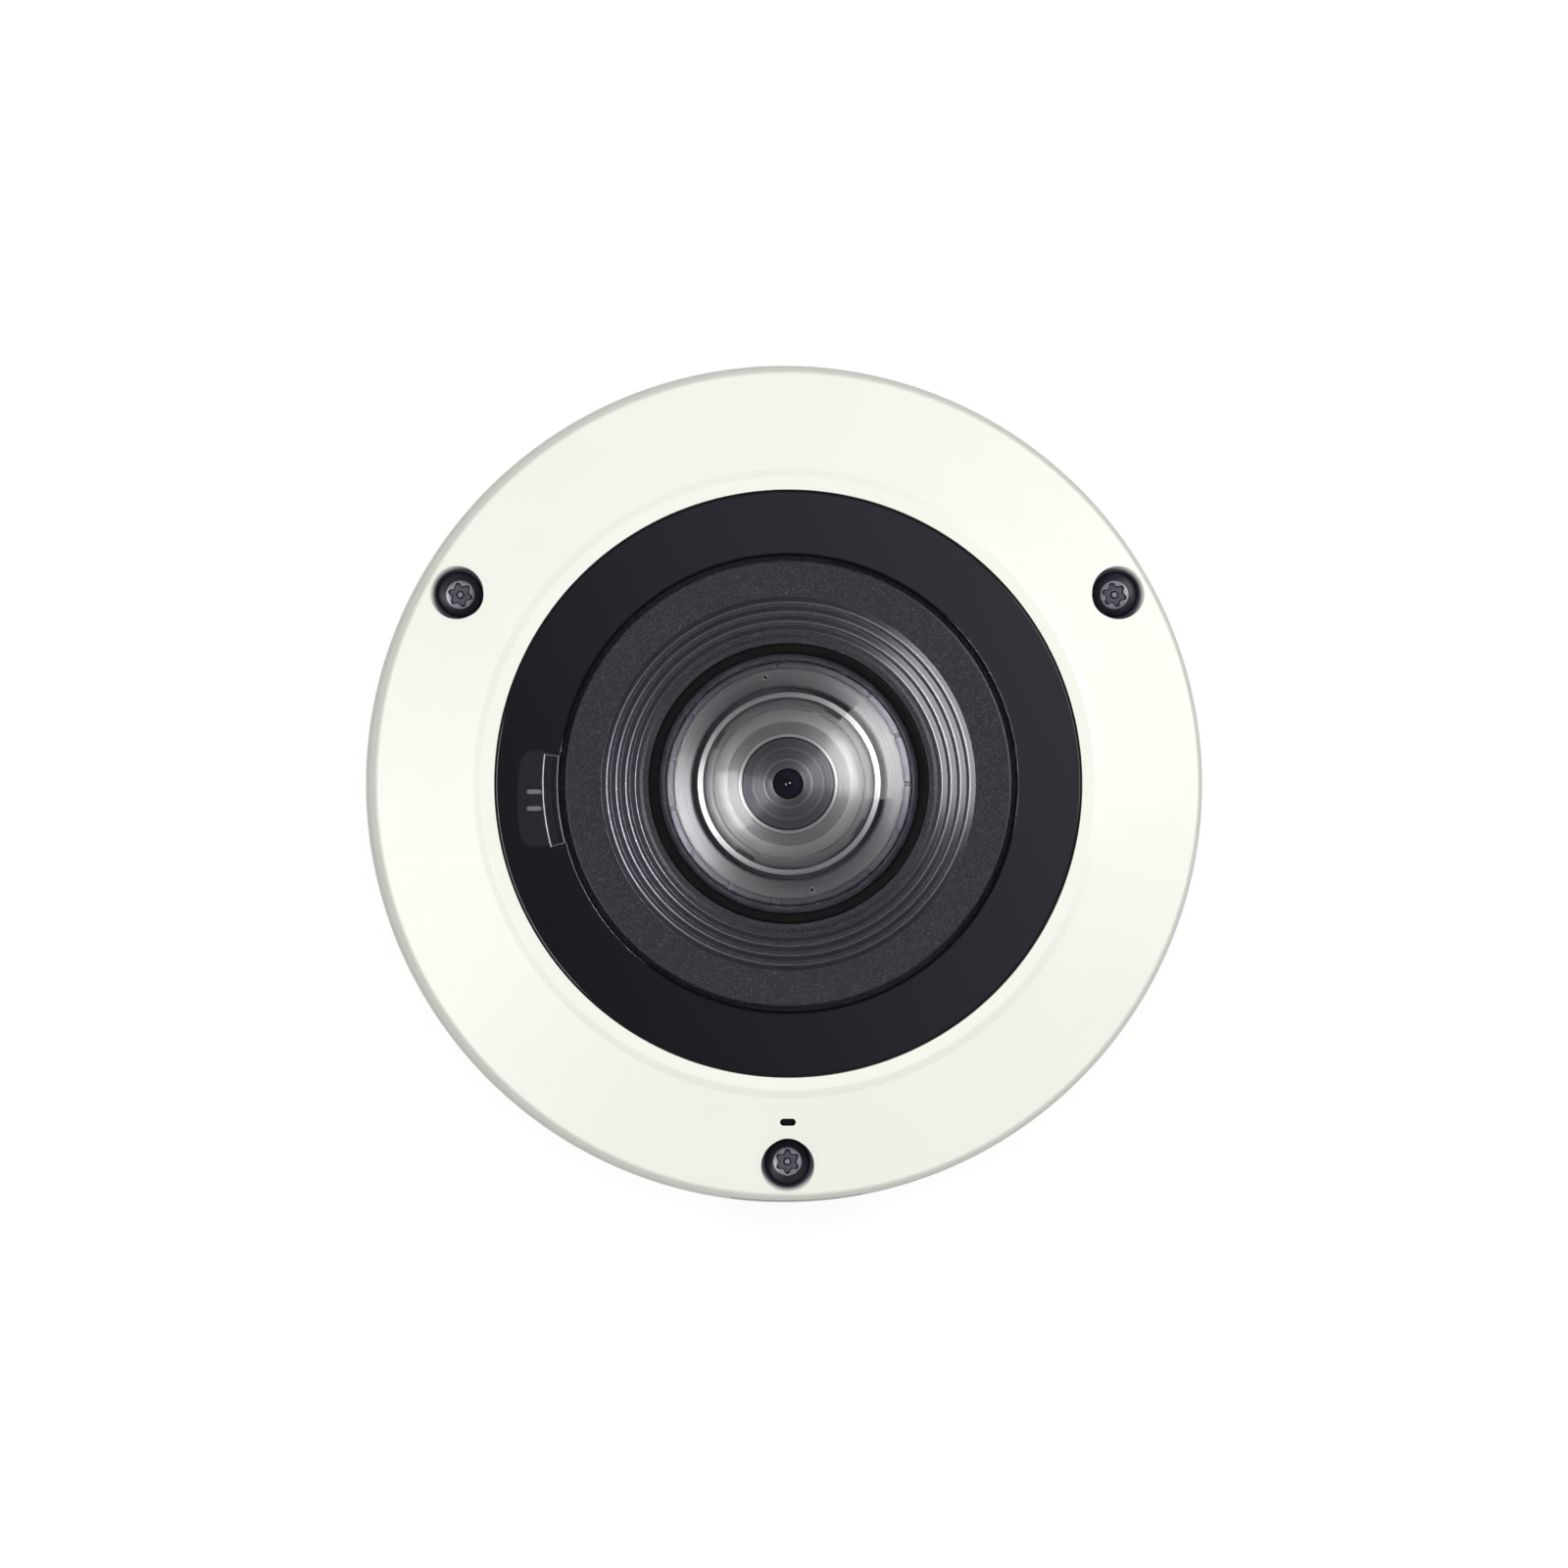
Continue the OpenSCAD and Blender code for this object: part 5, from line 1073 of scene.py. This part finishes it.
@dataclass(frozen=True)
class Front:
    """The black window, the clear insert, the stepped bezel, the dome and the screws."""

    window_top: float = 31.2
    window_out: float = 50.74
    window_in: float = 39.35
    window_low: float = 28.8
    insert_deg: Pair = (184.0 - 11.1, 184.0 + 11.1)
    insert_radii: Pair = (39.75, 42.6)
    insert_fit: float = 0.06
    insert_edge: float = 0.4
    insert_level: float = 0.97
    bezel_face: float = 31.0
    bezel_out: float = 38.65
    bezel_low: float = 28.3
    step_first: float = 32.35
    step_pitch: float = 1.645
    step_rise: float = 0.85
    slope_width: float = 0.95
    step_count: int = 4
    steps_in: float = 26.4
    slope_out: float = 0.1
    slope_up: float = 0.2
    crest_out: float = 0.62
    land: float = 34.65
    hole: float = 24.2
    dome_foot: float = 22.4
    dome_rise: float = 12.595
    dome_skin: float = 1.5
    screw_low: float = 22.75
    head: float = 3.87
    thread_turns: int = 9
    thread_pitch: float = 0.7
    star_steps: int = 96
    star_lobes: int = 6
    star_form: Pair = (0.855, 0.145)
    star_power: float = 0.8
    socket_rim: float = 2.35
    socket_up: float = 0.4
    socket_high: float = 1.4
    land_high: float = 2.0

    def build(self) -> None:
        """Builds every piece of the front."""
        self.build_window()
        self.build_insert()
        self.build_bezel()
        self.build_dome()
        lobes = ((45.0, Body.SCREW_1), (45.0, Body.SCREW_2), (30.0, Body.SCREW_3))
        for number, (lobe, body) in enumerate(lobes, 1):
            self.build_screw(number, SCREW_ANGLES[number - 1], lobe, body)

    def build_window(self) -> None:
        """The window ring: bevelled outside, a raised lip line inside."""
        out, inner, top, low = self.window_out, self.window_in, self.window_top, self.window_low
        section = filleted([
            (out, low, 0.15), (out, top - 0.42, 0.1), (out - 0.32, top - 0.04, 0.1),
            (out - 0.42, top, 0.06), (inner + 0.5, top, 0.12), (inner + 0.12, top - 0.3, 0.1),
            (inner, top - 0.75, 0.1), (inner, low, 0.15),
        ])
        Turning(
            "window_ring", section, WINDOW_BLACK, Body.COVER, "window_black", "ir_window",
            FINE_STEPS,
        ).build(prism("pocket", self.insert_outline(0.0), 27.0, 33.0))

    def insert_outline(self, fit: float) -> list[Pair]:
        """Arc strip between two radii round the camera's axis, less a fit on its edges."""
        (low, high), (inner, outer) = self.insert_deg, self.insert_radii
        inner, outer = inner + fit, outer - fit
        low, high = low + math.degrees(fit / outer), high - math.degrees(fit / outer)
        return arc(0, 0, outer, low, high, 24) + arc(0, 0, inner, high, low, 24)

    def build_insert(self) -> None:
        """The clear insert, level with the window, with a painted highlight on its polished edges.
        """
        low, top = self.window_low + 0.05, self.window_top - 0.05
        insert = prism("sensor_lens", self.insert_outline(self.insert_fit), low, top)
        soften(insert, 0.22, 3, 50)
        settle(insert, CLEAR_INSERT, Body.COVER, "clear_plastic", "sensor_insert")
        edge_low = self.window_top - self.insert_edge
        edge_out = self.insert_radii[1] - self.insert_edge

        def choose(radius: float, centre: Vector, normal: Vector) -> int:
            """The long outer edge gets the brightest painted highlight."""
            on_edge = normal.z < self.insert_level and centre.z > edge_low
            return (1 if radius > edge_out else 2) if on_edge else 0

        paint_faces(insert, choose, INSERT_EDGE_HIGHLIGHT, INSERT_END_HIGHLIGHT)

    def build_bezel(self) -> None:
        """The bezel: flange, four steps with painted sheen and highlight, land and hole."""
        out, face, low, land = self.bezel_out, self.bezel_face, self.bezel_low, self.land
        section = [(41.75, low, 0.2), (out, low, 0.0), (out, face - 0.3, 0.15)]
        section.append((out - 0.35, face, 0.12))
        radius, height = self.step_first, face
        for _ in range(self.step_count):
            section.append((radius, height, 0.08))
            height += self.step_rise
            section.append((radius - self.slope_width, height, 0.45))
            radius -= self.step_pitch
        section += [
            (25.75, height, 0.2), (25.2, land, 0.3), (self.hole, land, 0.18),
            (self.hole, land - 2.0, 0.1), (26.1, land - 2.0, 0.3), (31.4, face - 2.0, 0.4),
            (36.9, face - 2.0, 0.3), (36.9, 26.75, 0.2), (41.75, 26.75, 0.2),
        ]
        bezel = Turning(
            "bezel_moulding", filleted(section), BEZEL_CHARCOAL, Body.COVER, "bezel_charcoal",
            "bezel", FINE_STEPS, 22,
        ).build()
        top = face + self.step_rise * self.step_count

        def choose(radius: float, centre: Vector, normal: Vector) -> int:
            """The steps' slopes get painted sheen, and their crests the brighter painted highlight.
            """
            outward = (centre.x * normal.x + centre.y * normal.y) / radius
            in_steps = self.steps_in < radius < self.step_first and face < centre.z < top
            on_slope = in_steps and outward > self.slope_out and normal.z > self.slope_up
            return (2 if outward < self.crest_out else 1) if on_slope else 0

        paint_faces(bezel, choose, BEZEL_SLOPE_SHEEN, BEZEL_CREST_HIGHLIGHT)

    def build_dome(self) -> None:
        """The dome, an even clear skin over its clamped flange, and its black rubber seal."""
        foot, land = self.dome_foot, self.land
        outer = cap_radius(foot, self.dome_rise)
        centre, inner = land + self.dome_rise - outer, outer - self.dome_skin
        inside = foot - self.dome_skin - 0.1
        spring, spring_in = math.asin(foot / outer), math.asin(inside / inner)
        flange = [
            (foot, land, 0.0), (foot, 30.65, 0.4), (25.6, 30.65, 0.15), (25.6, 29.15, 0.15),
            (inside, 29.15, 0.2), (inside, 31.0, 0.0),
        ]
        section = [
            (0.0, centre + outer),
            *arc(0, centre, outer, 90, 90 - math.degrees(spring), 40)[1:],
            *filleted(flange, closed=False)[1:],
            *arc(0, centre, inner, 90 - math.degrees(spring_in), 90, 40),
        ]
        dome = Turning(
            "dome_shell", section, DOME_CLEAR, Body.COVER, "dome_clear", "dome", FINE_STEPS, 40
        ).build()
        paint_faces(dome, lambda _, middle, __: int(middle.z < land - 0.3), DOME_FOOT)
        seal = filleted([
            (22.45, 30.7, 0.15), (24.15, 30.7, 0.15), (24.15, 34.55, 0.3), (23.75, 34.85, 0.3),
            (22.95, 34.8, 0.3), (22.5, 34.45, 0.25),
        ])
        Turning(
            "dome_seal_ring", seal, SEAL_RUBBER, Body.COVER, "seal_rubber", "dome_seal",
            smooth_deg=50,
        ).build()

    def star(self, radius: float, lobe_deg: float) -> list[Pair]:
        """Outline of the six-lobed socket, with its first lobe in a direction."""
        points = []
        middle, swing = self.star_form
        for i in range(self.star_steps):
            angle = 360 * i / self.star_steps
            wave = math.cos(math.radians(self.star_lobes * angle))
            lobe = math.copysign(abs(wave) ** self.star_power, wave)
            reach = radius * (middle + swing * lobe)
            points.append(around(reach, angle + lobe_deg))
        return points

    def screw_section(self) -> list[Pair]:
        """Half section of a screw: rolled thread, neck and domed head."""
        low, head = self.screw_low, self.head
        tip = low - 17.0
        section = [(0.0, tip), (1.3, tip), (1.62, tip + 0.4)]
        for i in range(self.thread_turns):
            z = tip + 0.5 + i * self.thread_pitch
            section += [(1.64, z), (1.97, z + 0.26), (1.97, z + 0.36), (1.64, z + 0.62)]
        section += [(1.6, tip + 7.0), (1.6, low - 0.25), (1.8, low), (head - 0.1, low)]
        section += [(head, low + 0.12), (head, low + 1.0)]
        ball, top = cap_radius(head, 1.4), low + 2.5
        edge = 90 - math.degrees(math.asin((head - 0.15) / ball))
        return [*section, *arc(0, top - ball, ball, edge, 90, 16)[:-1], (0.0, top)]

    def build_screw(self, number: int, angle: float, lobe_deg: float, body: Body) -> None:
        """One captive screw: domed head, star socket with its pin, neck and rolled thread.

        Args:
            number: The screw's number.
            angle: The direction in which it stands.
            lobe_deg: The direction of one lobe of its socket.
            body: The body that it is.
        """
        low = self.screw_low
        screw = turned(f"security_screw_{number}", self.screw_section(), 96, smooth_deg=36)
        rim = [(0.0, low + 2.2), (2.24, low + 2.2), (2.3, low + 2.75), (0.0, low + 2.75)]
        pin = [(0.0, low + 0.9), (0.52, low + 0.9), (0.52, low + 1.9)]
        pin += [(0.42, low + 2.03), (0.0, low + 2.06)]
        combine(screw, turned("rim", rim, 96))
        combine(screw, prism("socket", self.star(2.16, lobe_deg), low + 1.1, low + 4.0))
        island = prism("island", self.star(1.86, lobe_deg), low + 1.0, low + 1.6)
        combine(screw, island, Cut.TOGETHER)
        combine(screw, plug_tool(0.72, low + 1.25, low + 4.0, 32))
        combine(screw, turned("pin", pin, 32), Cut.TOGETHER)
        x, y = around(SCREW_DISTANCE, angle)
        pick(screw)
        screw.location = (x * MM, y * MM, 0.0)
        bpy.ops.object.transform_apply(location=True, rotation=False, scale=False)
        shade(screw, 36)
        settle(screw, BLACK_STEEL, body, "black_steel", f"cover_screw_{number}")

        def choose(_: float, centre: Vector, normal: Vector) -> int:
            """The socket's floor is paler, and its worn lands are the palest."""
            height = centre.z - low
            outside = math.hypot(centre.x - x, centre.y - y) > self.socket_rim
            if outside or normal.z < self.socket_up or height < self.socket_high:
                return 0
            return 2 if height > self.land_high else 1

        paint_faces(screw, choose, SOCKET_STEEL, LAND_STEEL)


# Lens


@dataclass(frozen=True)
class Lens:
    """The lens stack seen through the dome, turned to its measured radii."""

    ring_top: float = 35.55
    front: float = 13.3
    front_crown: float = 5.4
    front_low: float = 33.35
    middle: float = 7.9
    middle_crown: float = 2.6
    middle_low: float = 30.95
    spacer_low: float = 32.15
    stop_low: float = 29.35
    rear_low: float = 26.35
    rear_foot: float = 4.18
    lock_low: float = 33.15
    lock_top: float = 34.35
    nut_top: float = 34.65
    nut_radii: Pair = (20.35, 19.45)
    nut_slots: int = 15
    slot_size: Point = (2.4, 0.8, 1.6)
    slot_place: Point = (19.95, 0.0, 34.55)
    spanner: tuple[Pair, Pair] = (around(18.4, 102.4), around(18.4, 102.4 + 180.0))
    key_deg: float = 58.0
    key_half_deg: float = 7.0
    key_count: int = 4
    thread_span: Pair = (25.6, 32.6)
    thread_pitch: float = 0.6
    rim_radius: float = 14.55
    rim_high: float = 36.6
    dull_band: Pair = (8.4, 10.4)
    beads: tuple[Point, ...] = (
        (8.05, 0.14, 30.95), (6.0, 0.08, 30.55), (4.05, 0.14, 30.15), (2.78, 0.07, 29.75),
    )

    def build(self) -> None:
        """Builds every piece of the lens."""
        self.build_nut_and_lock()
        self.build_barrel()
        self.build_glass_ring()
        front = self.meniscus(self.front, self.front_low, self.ring_top, self.front_crown, 0.9)
        self.glass("front_meniscus", front, "front_glass", FINE_STEPS)
        self.build_spacer()
        low, high = self.middle_low, self.spacer_low
        middle = self.meniscus(self.middle, low, high, self.middle_crown, 0.35)
        self.glass("middle_meniscus", middle, "middle_glass")
        self.build_stop()
        self.glass("rear_lens", self.rear_section(), "rear_glass", 128, REAR_GLASS)

    def ring(
        self,
        name: str,
        section: list[Pair],
        finish: Finish,
        slot: str,
        node: str,
        *cuts: Obj,
        smooth_deg: float = SMOOTH_DEG,
    ) -> Obj:
        """Turns a metal ring on the base and takes the cuts away."""
        ring = Turning(name, section, finish, Body.BASE, slot, node, smooth_deg=smooth_deg)
        return ring.build(*cuts)

    def glass(
        self,
        name: str,
        section: list[Pair],
        node: str,
        steps: int = TURN_STEPS,
        finish: Finish = LENS_GLASS,
    ) -> None:
        """Turns a glass on the base."""
        Turning(name, section, finish, Body.BASE, "lens_glass", node, steps, 40).build()

    def build_nut_and_lock(self) -> None:
        """The toothed ring with its open slots, and the silver ring with two spanner holes."""
        low, top, lock = self.lock_low, self.nut_top, self.lock_top
        out, inner = self.nut_radii
        nut = filleted([(inner, low, 0.1), (out, low, 0.1), (out, top, 0.25), (inner, top, 0.12)])
        slots = []
        for i in range(self.nut_slots):
            angle = 360 / self.nut_slots * i
            slot = block("slot", self.slot_size, self.slot_place, angle)
            soften(slot, 0.12, 2, 60)
            slots.append(slot)
        self.ring("toothed_nut", nut, RING_GREY, "ring_dark", "castle_nut", *slots)
        ring = filleted([
            (16.4, low, 0.1), (19.4, low, 0.1), (19.4, lock, 0.12), (19.15, lock, 0.0),
            (19.05, lock - 0.08, 0.0), (18.95, lock, 0.0), (16.75, lock, 0.0),
            (16.4, lock - 0.3, 0.1),
        ])
        drill = [(0.0, 33.0), (0.35, 33.0), (0.35, 34.2), (0.5, 34.4), (0.5, 35.0), (0.0, 35.0)]
        drills = [turned("drill", drill, 32, place) for place in self.spanner]
        self.ring("spanner_ring", ring, RING_SILVER, "ring_silver", "lock_ring", *drills)

    def build_barrel(self) -> None:
        """The barrel: threaded outside, stepped bores inside, a bright double line at its rim."""
        ledge = self.ring_top - 1.2
        thread: list[Point] = []
        z, high = self.thread_span
        while z < high:
            thread += [(15.5, z, 0.0), (15.18, z + 0.2, 0.0), (15.18, z + 0.3, 0.0)]
            thread.append((15.5, z + 0.5, 0.0))
            z += self.thread_pitch
        section = filleted([
            (15.2, 25.15, 0.1), *thread, (15.5, 36.5, 0.1), (15.3, 36.72, 0.08),
            (15.05, 36.75, 0.0), (15.0, 36.66, 0.0), (14.9, 36.66, 0.0), (14.85, 36.75, 0.05),
            (14.6, 36.7, 0.08), (14.6, ledge, 0.0), (13.35, ledge, 0.0),
            (13.35, self.spacer_low, 0.05), (8.25, self.spacer_low, 0.05),
            (8.25, self.stop_low, 0.05), (4.25, self.stop_low, 0.05),
            (4.25, self.rear_low, 0.05), (3.6, self.rear_low, 0.1), (3.6, 25.15, 0.2),
        ])
        barrel = self.ring(
            "barrel_casting", section, RING_DARK, "ring_dark", "lens_barrel", smooth_deg=24
        )

        def choose(radius: float, centre: Vector, _: Vector) -> int:
            """The rim is bright."""
            return int(radius > self.rim_radius and centre.z > self.rim_high)

        paint_faces(barrel, choose, RING_BRIGHT)

    def build_glass_ring(self) -> None:
        """The threaded ring that holds the front glass, with four key notches."""
        section = filleted([
            (12.85, 34.5, 0.0), (13.3, 34.4, 0.05), (14.5, 34.4, 0.05), (14.5, 35.35, 0.15),
            (14.1, 35.55, 0.1), (13.5, 35.6, 0.1), (12.85, 35.65, 0.12),
        ])
        keys = []
        for i in range(self.key_count):
            middle = self.key_deg + 360 / self.key_count * i
            low, high = spread(middle, self.key_half_deg)
            outline = arc(0, 0, 14.7, low, high, 10) + arc(0, 0, 13.75, high, low, 10)
            keys.append(prism("key", outline, 34.85, 36.5))
        self.ring(
            "keyed_ring", section, RING_SILVER, "ring_silver", "glass_ring", *keys, smooth_deg=24
        )

    def meniscus(
        self, foot: float, low: float, high: float, crown: float, skin: float
    ) -> list[Pair]:
        """Half section of a glass, drawn as an even shell so the rings below keep their radii.

        Args:
            foot: Its radius.
            low: Height of the edge's bottom.
            high: Height of the edge's top.
            crown: Height of the dome over the edge.
            skin: Thickness of the glass.

        Returns:
            The section, from the axis down the outside and back along the inside.
        """
        outer = cap_radius(foot, crown)
        centre, inner = high + crown - outer, outer - skin
        spring = math.degrees(math.asin(foot / outer))
        spring_in = math.degrees(math.asin((foot - skin) / inner))
        down = arc(0, centre, outer, 90, 90 - spring, 32)[1:]
        back = arc(0, centre, inner, 90 - spring_in, 90, 32)
        return [(0.0, centre + outer), *down, (foot, low), (foot - skin, low), *back]

    def build_spacer(self) -> None:
        """The bright conical ring under the front glass, stepped into bands."""
        low = self.spacer_low
        section = filleted([
            (13.28, low, 0.05), (13.28, 33.3, 0.0), (12.4, 33.3, 0.0), (10.5, 33.3, 0.1),
            (10.3, 33.0, 0.05), (10.15, 32.72, 0.05), (8.62, 32.4, 0.05), (8.52, 32.2, 0.0),
            (8.42, 32.2, 0.0), (8.36, 32.48, 0.05), (8.02, 32.48, 0.05), (7.95, low, 0.0),
        ])
        spacer = self.ring(
            "conical_spacer", section, RING_BRIGHT, "ring_silver", "bright_spacer", smooth_deg=20
        )
        near, far = self.dull_band
        paint_faces(spacer, lambda radius, *_: int(near < radius < far), RING_SILVER)

    def build_stop(self) -> None:
        """The stepped stop: dark treads with thin bright beads down to the core."""
        section: list[Pair] = [(8.18, self.stop_low)]
        for radius, half, crown in self.beads:
            section += arc(radius, crown - half, half, 0, 180, 6)
            section.append((radius - half, crown - half - 0.25))
        section += [(2.6, self.middle_low - 1.25), (2.6, self.stop_low)]
        stop = self.ring(
            "stepped_stop", section, RING_STEP, "ring_dark", "stop_ring", smooth_deg=40
        )

        def choose(radius: float, centre: Vector, normal: Vector) -> int:
            """The beads are bright."""
            beads = self.beads
            return int(any(abs(radius - r) < half and centre.z > z - half for r, half, z in beads))

        paint_faces(stop, choose, RING_SILVER)

    def rear_section(self) -> list[Pair]:
        """Half section of the rear glass: a shallow face with a steep bead at its middle."""
        foot, top, low = self.rear_foot, self.stop_low - 0.05, self.rear_low
        radius = cap_radius(foot, 0.55)
        spring = math.degrees(math.asin(foot / radius))
        bead = arc(0, top - 0.75, 0.95, 90, 38, 10)
        crown = arc(0, top - radius, radius, 90, 90 - spring, 24)[1:]
        section = [(0.0, bead[0][1]), *bead[1:], *[p for p in crown if p[0] > bead[-1][0]]]
        return [*section, (foot, low + 0.25), (foot - 0.2, low + 0.03), (0.0, low + 0.03)]


# Inside


def dress_inside(frame: dict) -> None:
    """Gives every CAD node that is kept its finish."""
    plan = {
        SEAL_RUBBER: "cover_gasket window_seals screw_seals mic_boot",
        FOAM_RUBBER: "light_shield",
        NYLON: "light_posts screw_retainers reset_plunger",
        BRIGHT_STEEL: "frame_screws chassis_screws lens_screws network_jack card_socket"
        " terminal_screw_1 terminal_screw_2",
        BLACK_STEEL: "microphone",
        BRASS: "standoffs",
        FRAME_PLASTIC: "lens_holder filter_tray filter_carrier front_frame dome_clamp",
        FILTER_GLASS: "filter_glasses",
        MAGNET_GREY: "filter_rotor",
        COPPER_WIRE: "filter_coil",
        BOARD_GREEN: "sensor_board main_board",
        BOARD_WHITE: "light_board",
        CHIP_BLACK: "processor memory_chips reset_switch light_sensor",
        SENSOR_DARK: "image_sensor",
        RIBBON_AMBER: "sensor_ribbon",
        CHASSIS_METAL: "chassis",
        PAD_PINK: "thermal_pad",
        TERMINAL_GREEN: "power_terminal",
        LIGHT_CLEAR: "infrared_lights",
    }
    for finish, names in plan.items():
        for name in names.split():
            obj = frame["nodes"][name]
            for place in obj.material_slots:
                place.material = finish.material()
            if not obj.material_slots:
                obj.data.materials.append(finish.material())
            LOG.info("%s: wears %s", name, finish.name)


# Studio


@dataclass(frozen=True)
class SoftBox:
    """A soft area lamp that faces the camera model."""

    name: str
    azimuth_deg: float
    elevation_deg: float
    distance: float
    size: Pair
    watts: float
    in_matt: bool = True
    in_gloss: bool = True

    def build(self) -> None:
        """Adds the lamp and aims it at the origin."""
        deselect()
        level, height = around(1.0, self.elevation_deg)
        place = Vector((*around(level, self.azimuth_deg), height))
        turn = place.to_track_quat("Z", "Y").to_euler()
        bpy.ops.object.light_add(type="AREA", location=place * self.distance, rotation=turn)
        lamp = bpy.context.object
        lamp.name = lamp.data.name = self.name
        lamp.data.shape = "RECTANGLE"
        lamp.data.size, lamp.data.size_y = self.size
        lamp.data.energy = self.watts
        lamp.visible_camera = False
        lamp.visible_diffuse = self.in_matt
        lamp.visible_glossy = lamp.visible_transmission = self.in_gloss


@dataclass(frozen=True)
class Studio:
    """White floor, soft sky, graded card, lamps and the photograph's view."""

    floor_size: float = 8.0
    floor_share: float = 0.8
    floor_glow: float = 1.06
    floor_in_gloss: float = 0.12
    sky: float = 0.45
    sky_in_gloss: float = 0.08
    card_radius: float = 0.12
    card_height: float = 0.8
    card_deg: float = 28.0
    card_span: Pair = (-0.03, 0.08)
    card_levels: Pair = (0.22, 0.98)
    lens_mm: float = 1200.0
    sensor_mm: float = 36.0
    clip: Pair = (1.0, 100.0)
    distance: float = 9.06
    lean: Pair = (-0.0237, -0.002)
    lamps: tuple[SoftBox, ...] = (
        SoftBox("overhead_lamp", 80.0, 84.0, 2.2, (3.0, 3.0), 43.5, in_gloss=False),
        SoftBox("right_strip", 20.0, 17.0, 1.2, (1.3, 0.62), 14.0, in_matt=False),
        SoftBox("right_box", 17.0, 48.0, 1.2, (0.7, 0.5), 4.6, in_matt=False),
        SoftBox("left_box", 197.0, 45.0, 1.2, (0.9, 0.35), 9.0, in_matt=False),
    )

    def build(self) -> None:
        """Builds the floor, the sky, the card, the lamps and the view."""
        self.build_floor()
        self.build_sky()
        self.build_card()
        for lamp in self.lamps:
            lamp.build()
        self.build_view()

    def stand(self, name: str, material: bpy.types.Material) -> Obj:
        """Names the new flat piece, gives it its material and stages it."""
        piece = bpy.context.object
        piece.name = piece.data.name = name
        piece.data.materials.append(material)
        return piece

    def build_floor(self) -> None:
        """A flat white floor under the back face, dimmer where glossy surfaces mirror it."""
        paper = bpy.data.materials.new("studio_paper")
        graph = Graph(paper)
        rays = graph.add("LightPath").outputs
        seen = graph.math("MAXIMUM", rays["Is Camera Ray"], rays["Is Glossy Ray"])
        seen = graph.math("MAXIMUM", seen, rays["Is Transmission Ray"])
        level = graph.fit(rays["Is Glossy Ray"], UNIT, (self.floor_glow, self.floor_in_gloss))
        matt = graph.add("BsdfDiffuse", {"Color": linear("#F4F4F4")}).outputs[0]
        glow = graph.add("Emission", {"Color": linear("#FFFFFF"), "Strength": level}).outputs[0]
        share = graph.math("MULTIPLY", seen, self.floor_share)
        mix = graph.add("MixShader", {0: share, 1: matt, 2: glow}).outputs[0]
        graph.add("OutputMaterial", {"Surface": mix})
        deselect()
        bpy.ops.mesh.primitive_plane_add(size=self.floor_size, location=(0, 0, 0))
        self.stand("studio_floor", paper)

    def build_sky(self) -> None:
        """An even, dim sky that the camera sees as white."""
        world = bpy.data.worlds.new("studio_sky")
        bpy.context.scene.world = world
        graph = Graph(world)
        rays = graph.add("LightPath").outputs
        mirrored = graph.math("MAXIMUM", rays["Is Glossy Ray"], rays["Is Transmission Ray"])
        light = {
            "Color": graph.blend(mirrored, "#FFFFFF", "#E8E4FF"),
            "Strength": graph.fit(mirrored, UNIT, (self.sky, self.sky_in_gloss)),
        }
        ends = [light, {"Color": linear("#FFFFFF"), "Strength": 1.0}]
        dim, white = (graph.add("Background", inputs).outputs[0] for inputs in ends)
        mix = graph.add("MixShader", {0: rays["Is Camera Ray"], 1: dim, 2: white}).outputs[0]
        graph.add("OutputWorld", {"Surface": mix})

    def build_card(self) -> None:
        """A graded card over the camera model, seen only as a soft gradient in its window."""
        glow = bpy.data.materials.new("graded_card_light")
        graph = Graph(glow)
        toward = (*around(1.0, self.card_deg), 0.0)
        along = graph.vector("DOT_PRODUCT", graph.where, toward)
        strength = graph.fit(along, self.card_span, self.card_levels)
        inputs = {"Color": linear("#ECE8FF"), "Strength": strength}
        graph.add("OutputMaterial", {"Surface": graph.add("Emission", inputs).outputs[0]})
        deselect()
        bpy.ops.mesh.primitive_circle_add(
            radius=self.card_radius, fill_type="NGON", location=(0, 0, self.card_height)
        )
        card = self.stand("graded_card", glow)
        card.visible_camera = card.visible_shadow = False
        card.visible_diffuse = card.visible_transmission = False

    def build_view(self) -> None:
        """The view from straight in front, through a long lens."""
        deselect()
        back = Vector((*self.lean, 1.0)).normalized()
        right = Vector((0.0, 1.0, 0.0)).cross(back).normalized()
        turn = Matrix((right, back.cross(right), back)).transposed().to_euler()
        bpy.ops.object.camera_add(location=back * self.distance, rotation=turn)
        view = bpy.context.object
        view.name = view.data.name = "front_view"
        view.data.lens = self.lens_mm
        view.data.sensor_width = self.sensor_mm
        view.data.clip_start, view.data.clip_end = self.clip
        bpy.context.scene.camera = view
        bpy.context.scene.view_settings.view_transform = "Standard"


def main() -> None:
    """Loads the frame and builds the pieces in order."""
    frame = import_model()
    logging.basicConfig(level=logging.INFO)
    deselect()
    Housing().build()
    Front().build()
    Lens().build()
    dress_inside(frame)
    Studio().build()
    deselect()


if __name__ == "__main__":
    main()
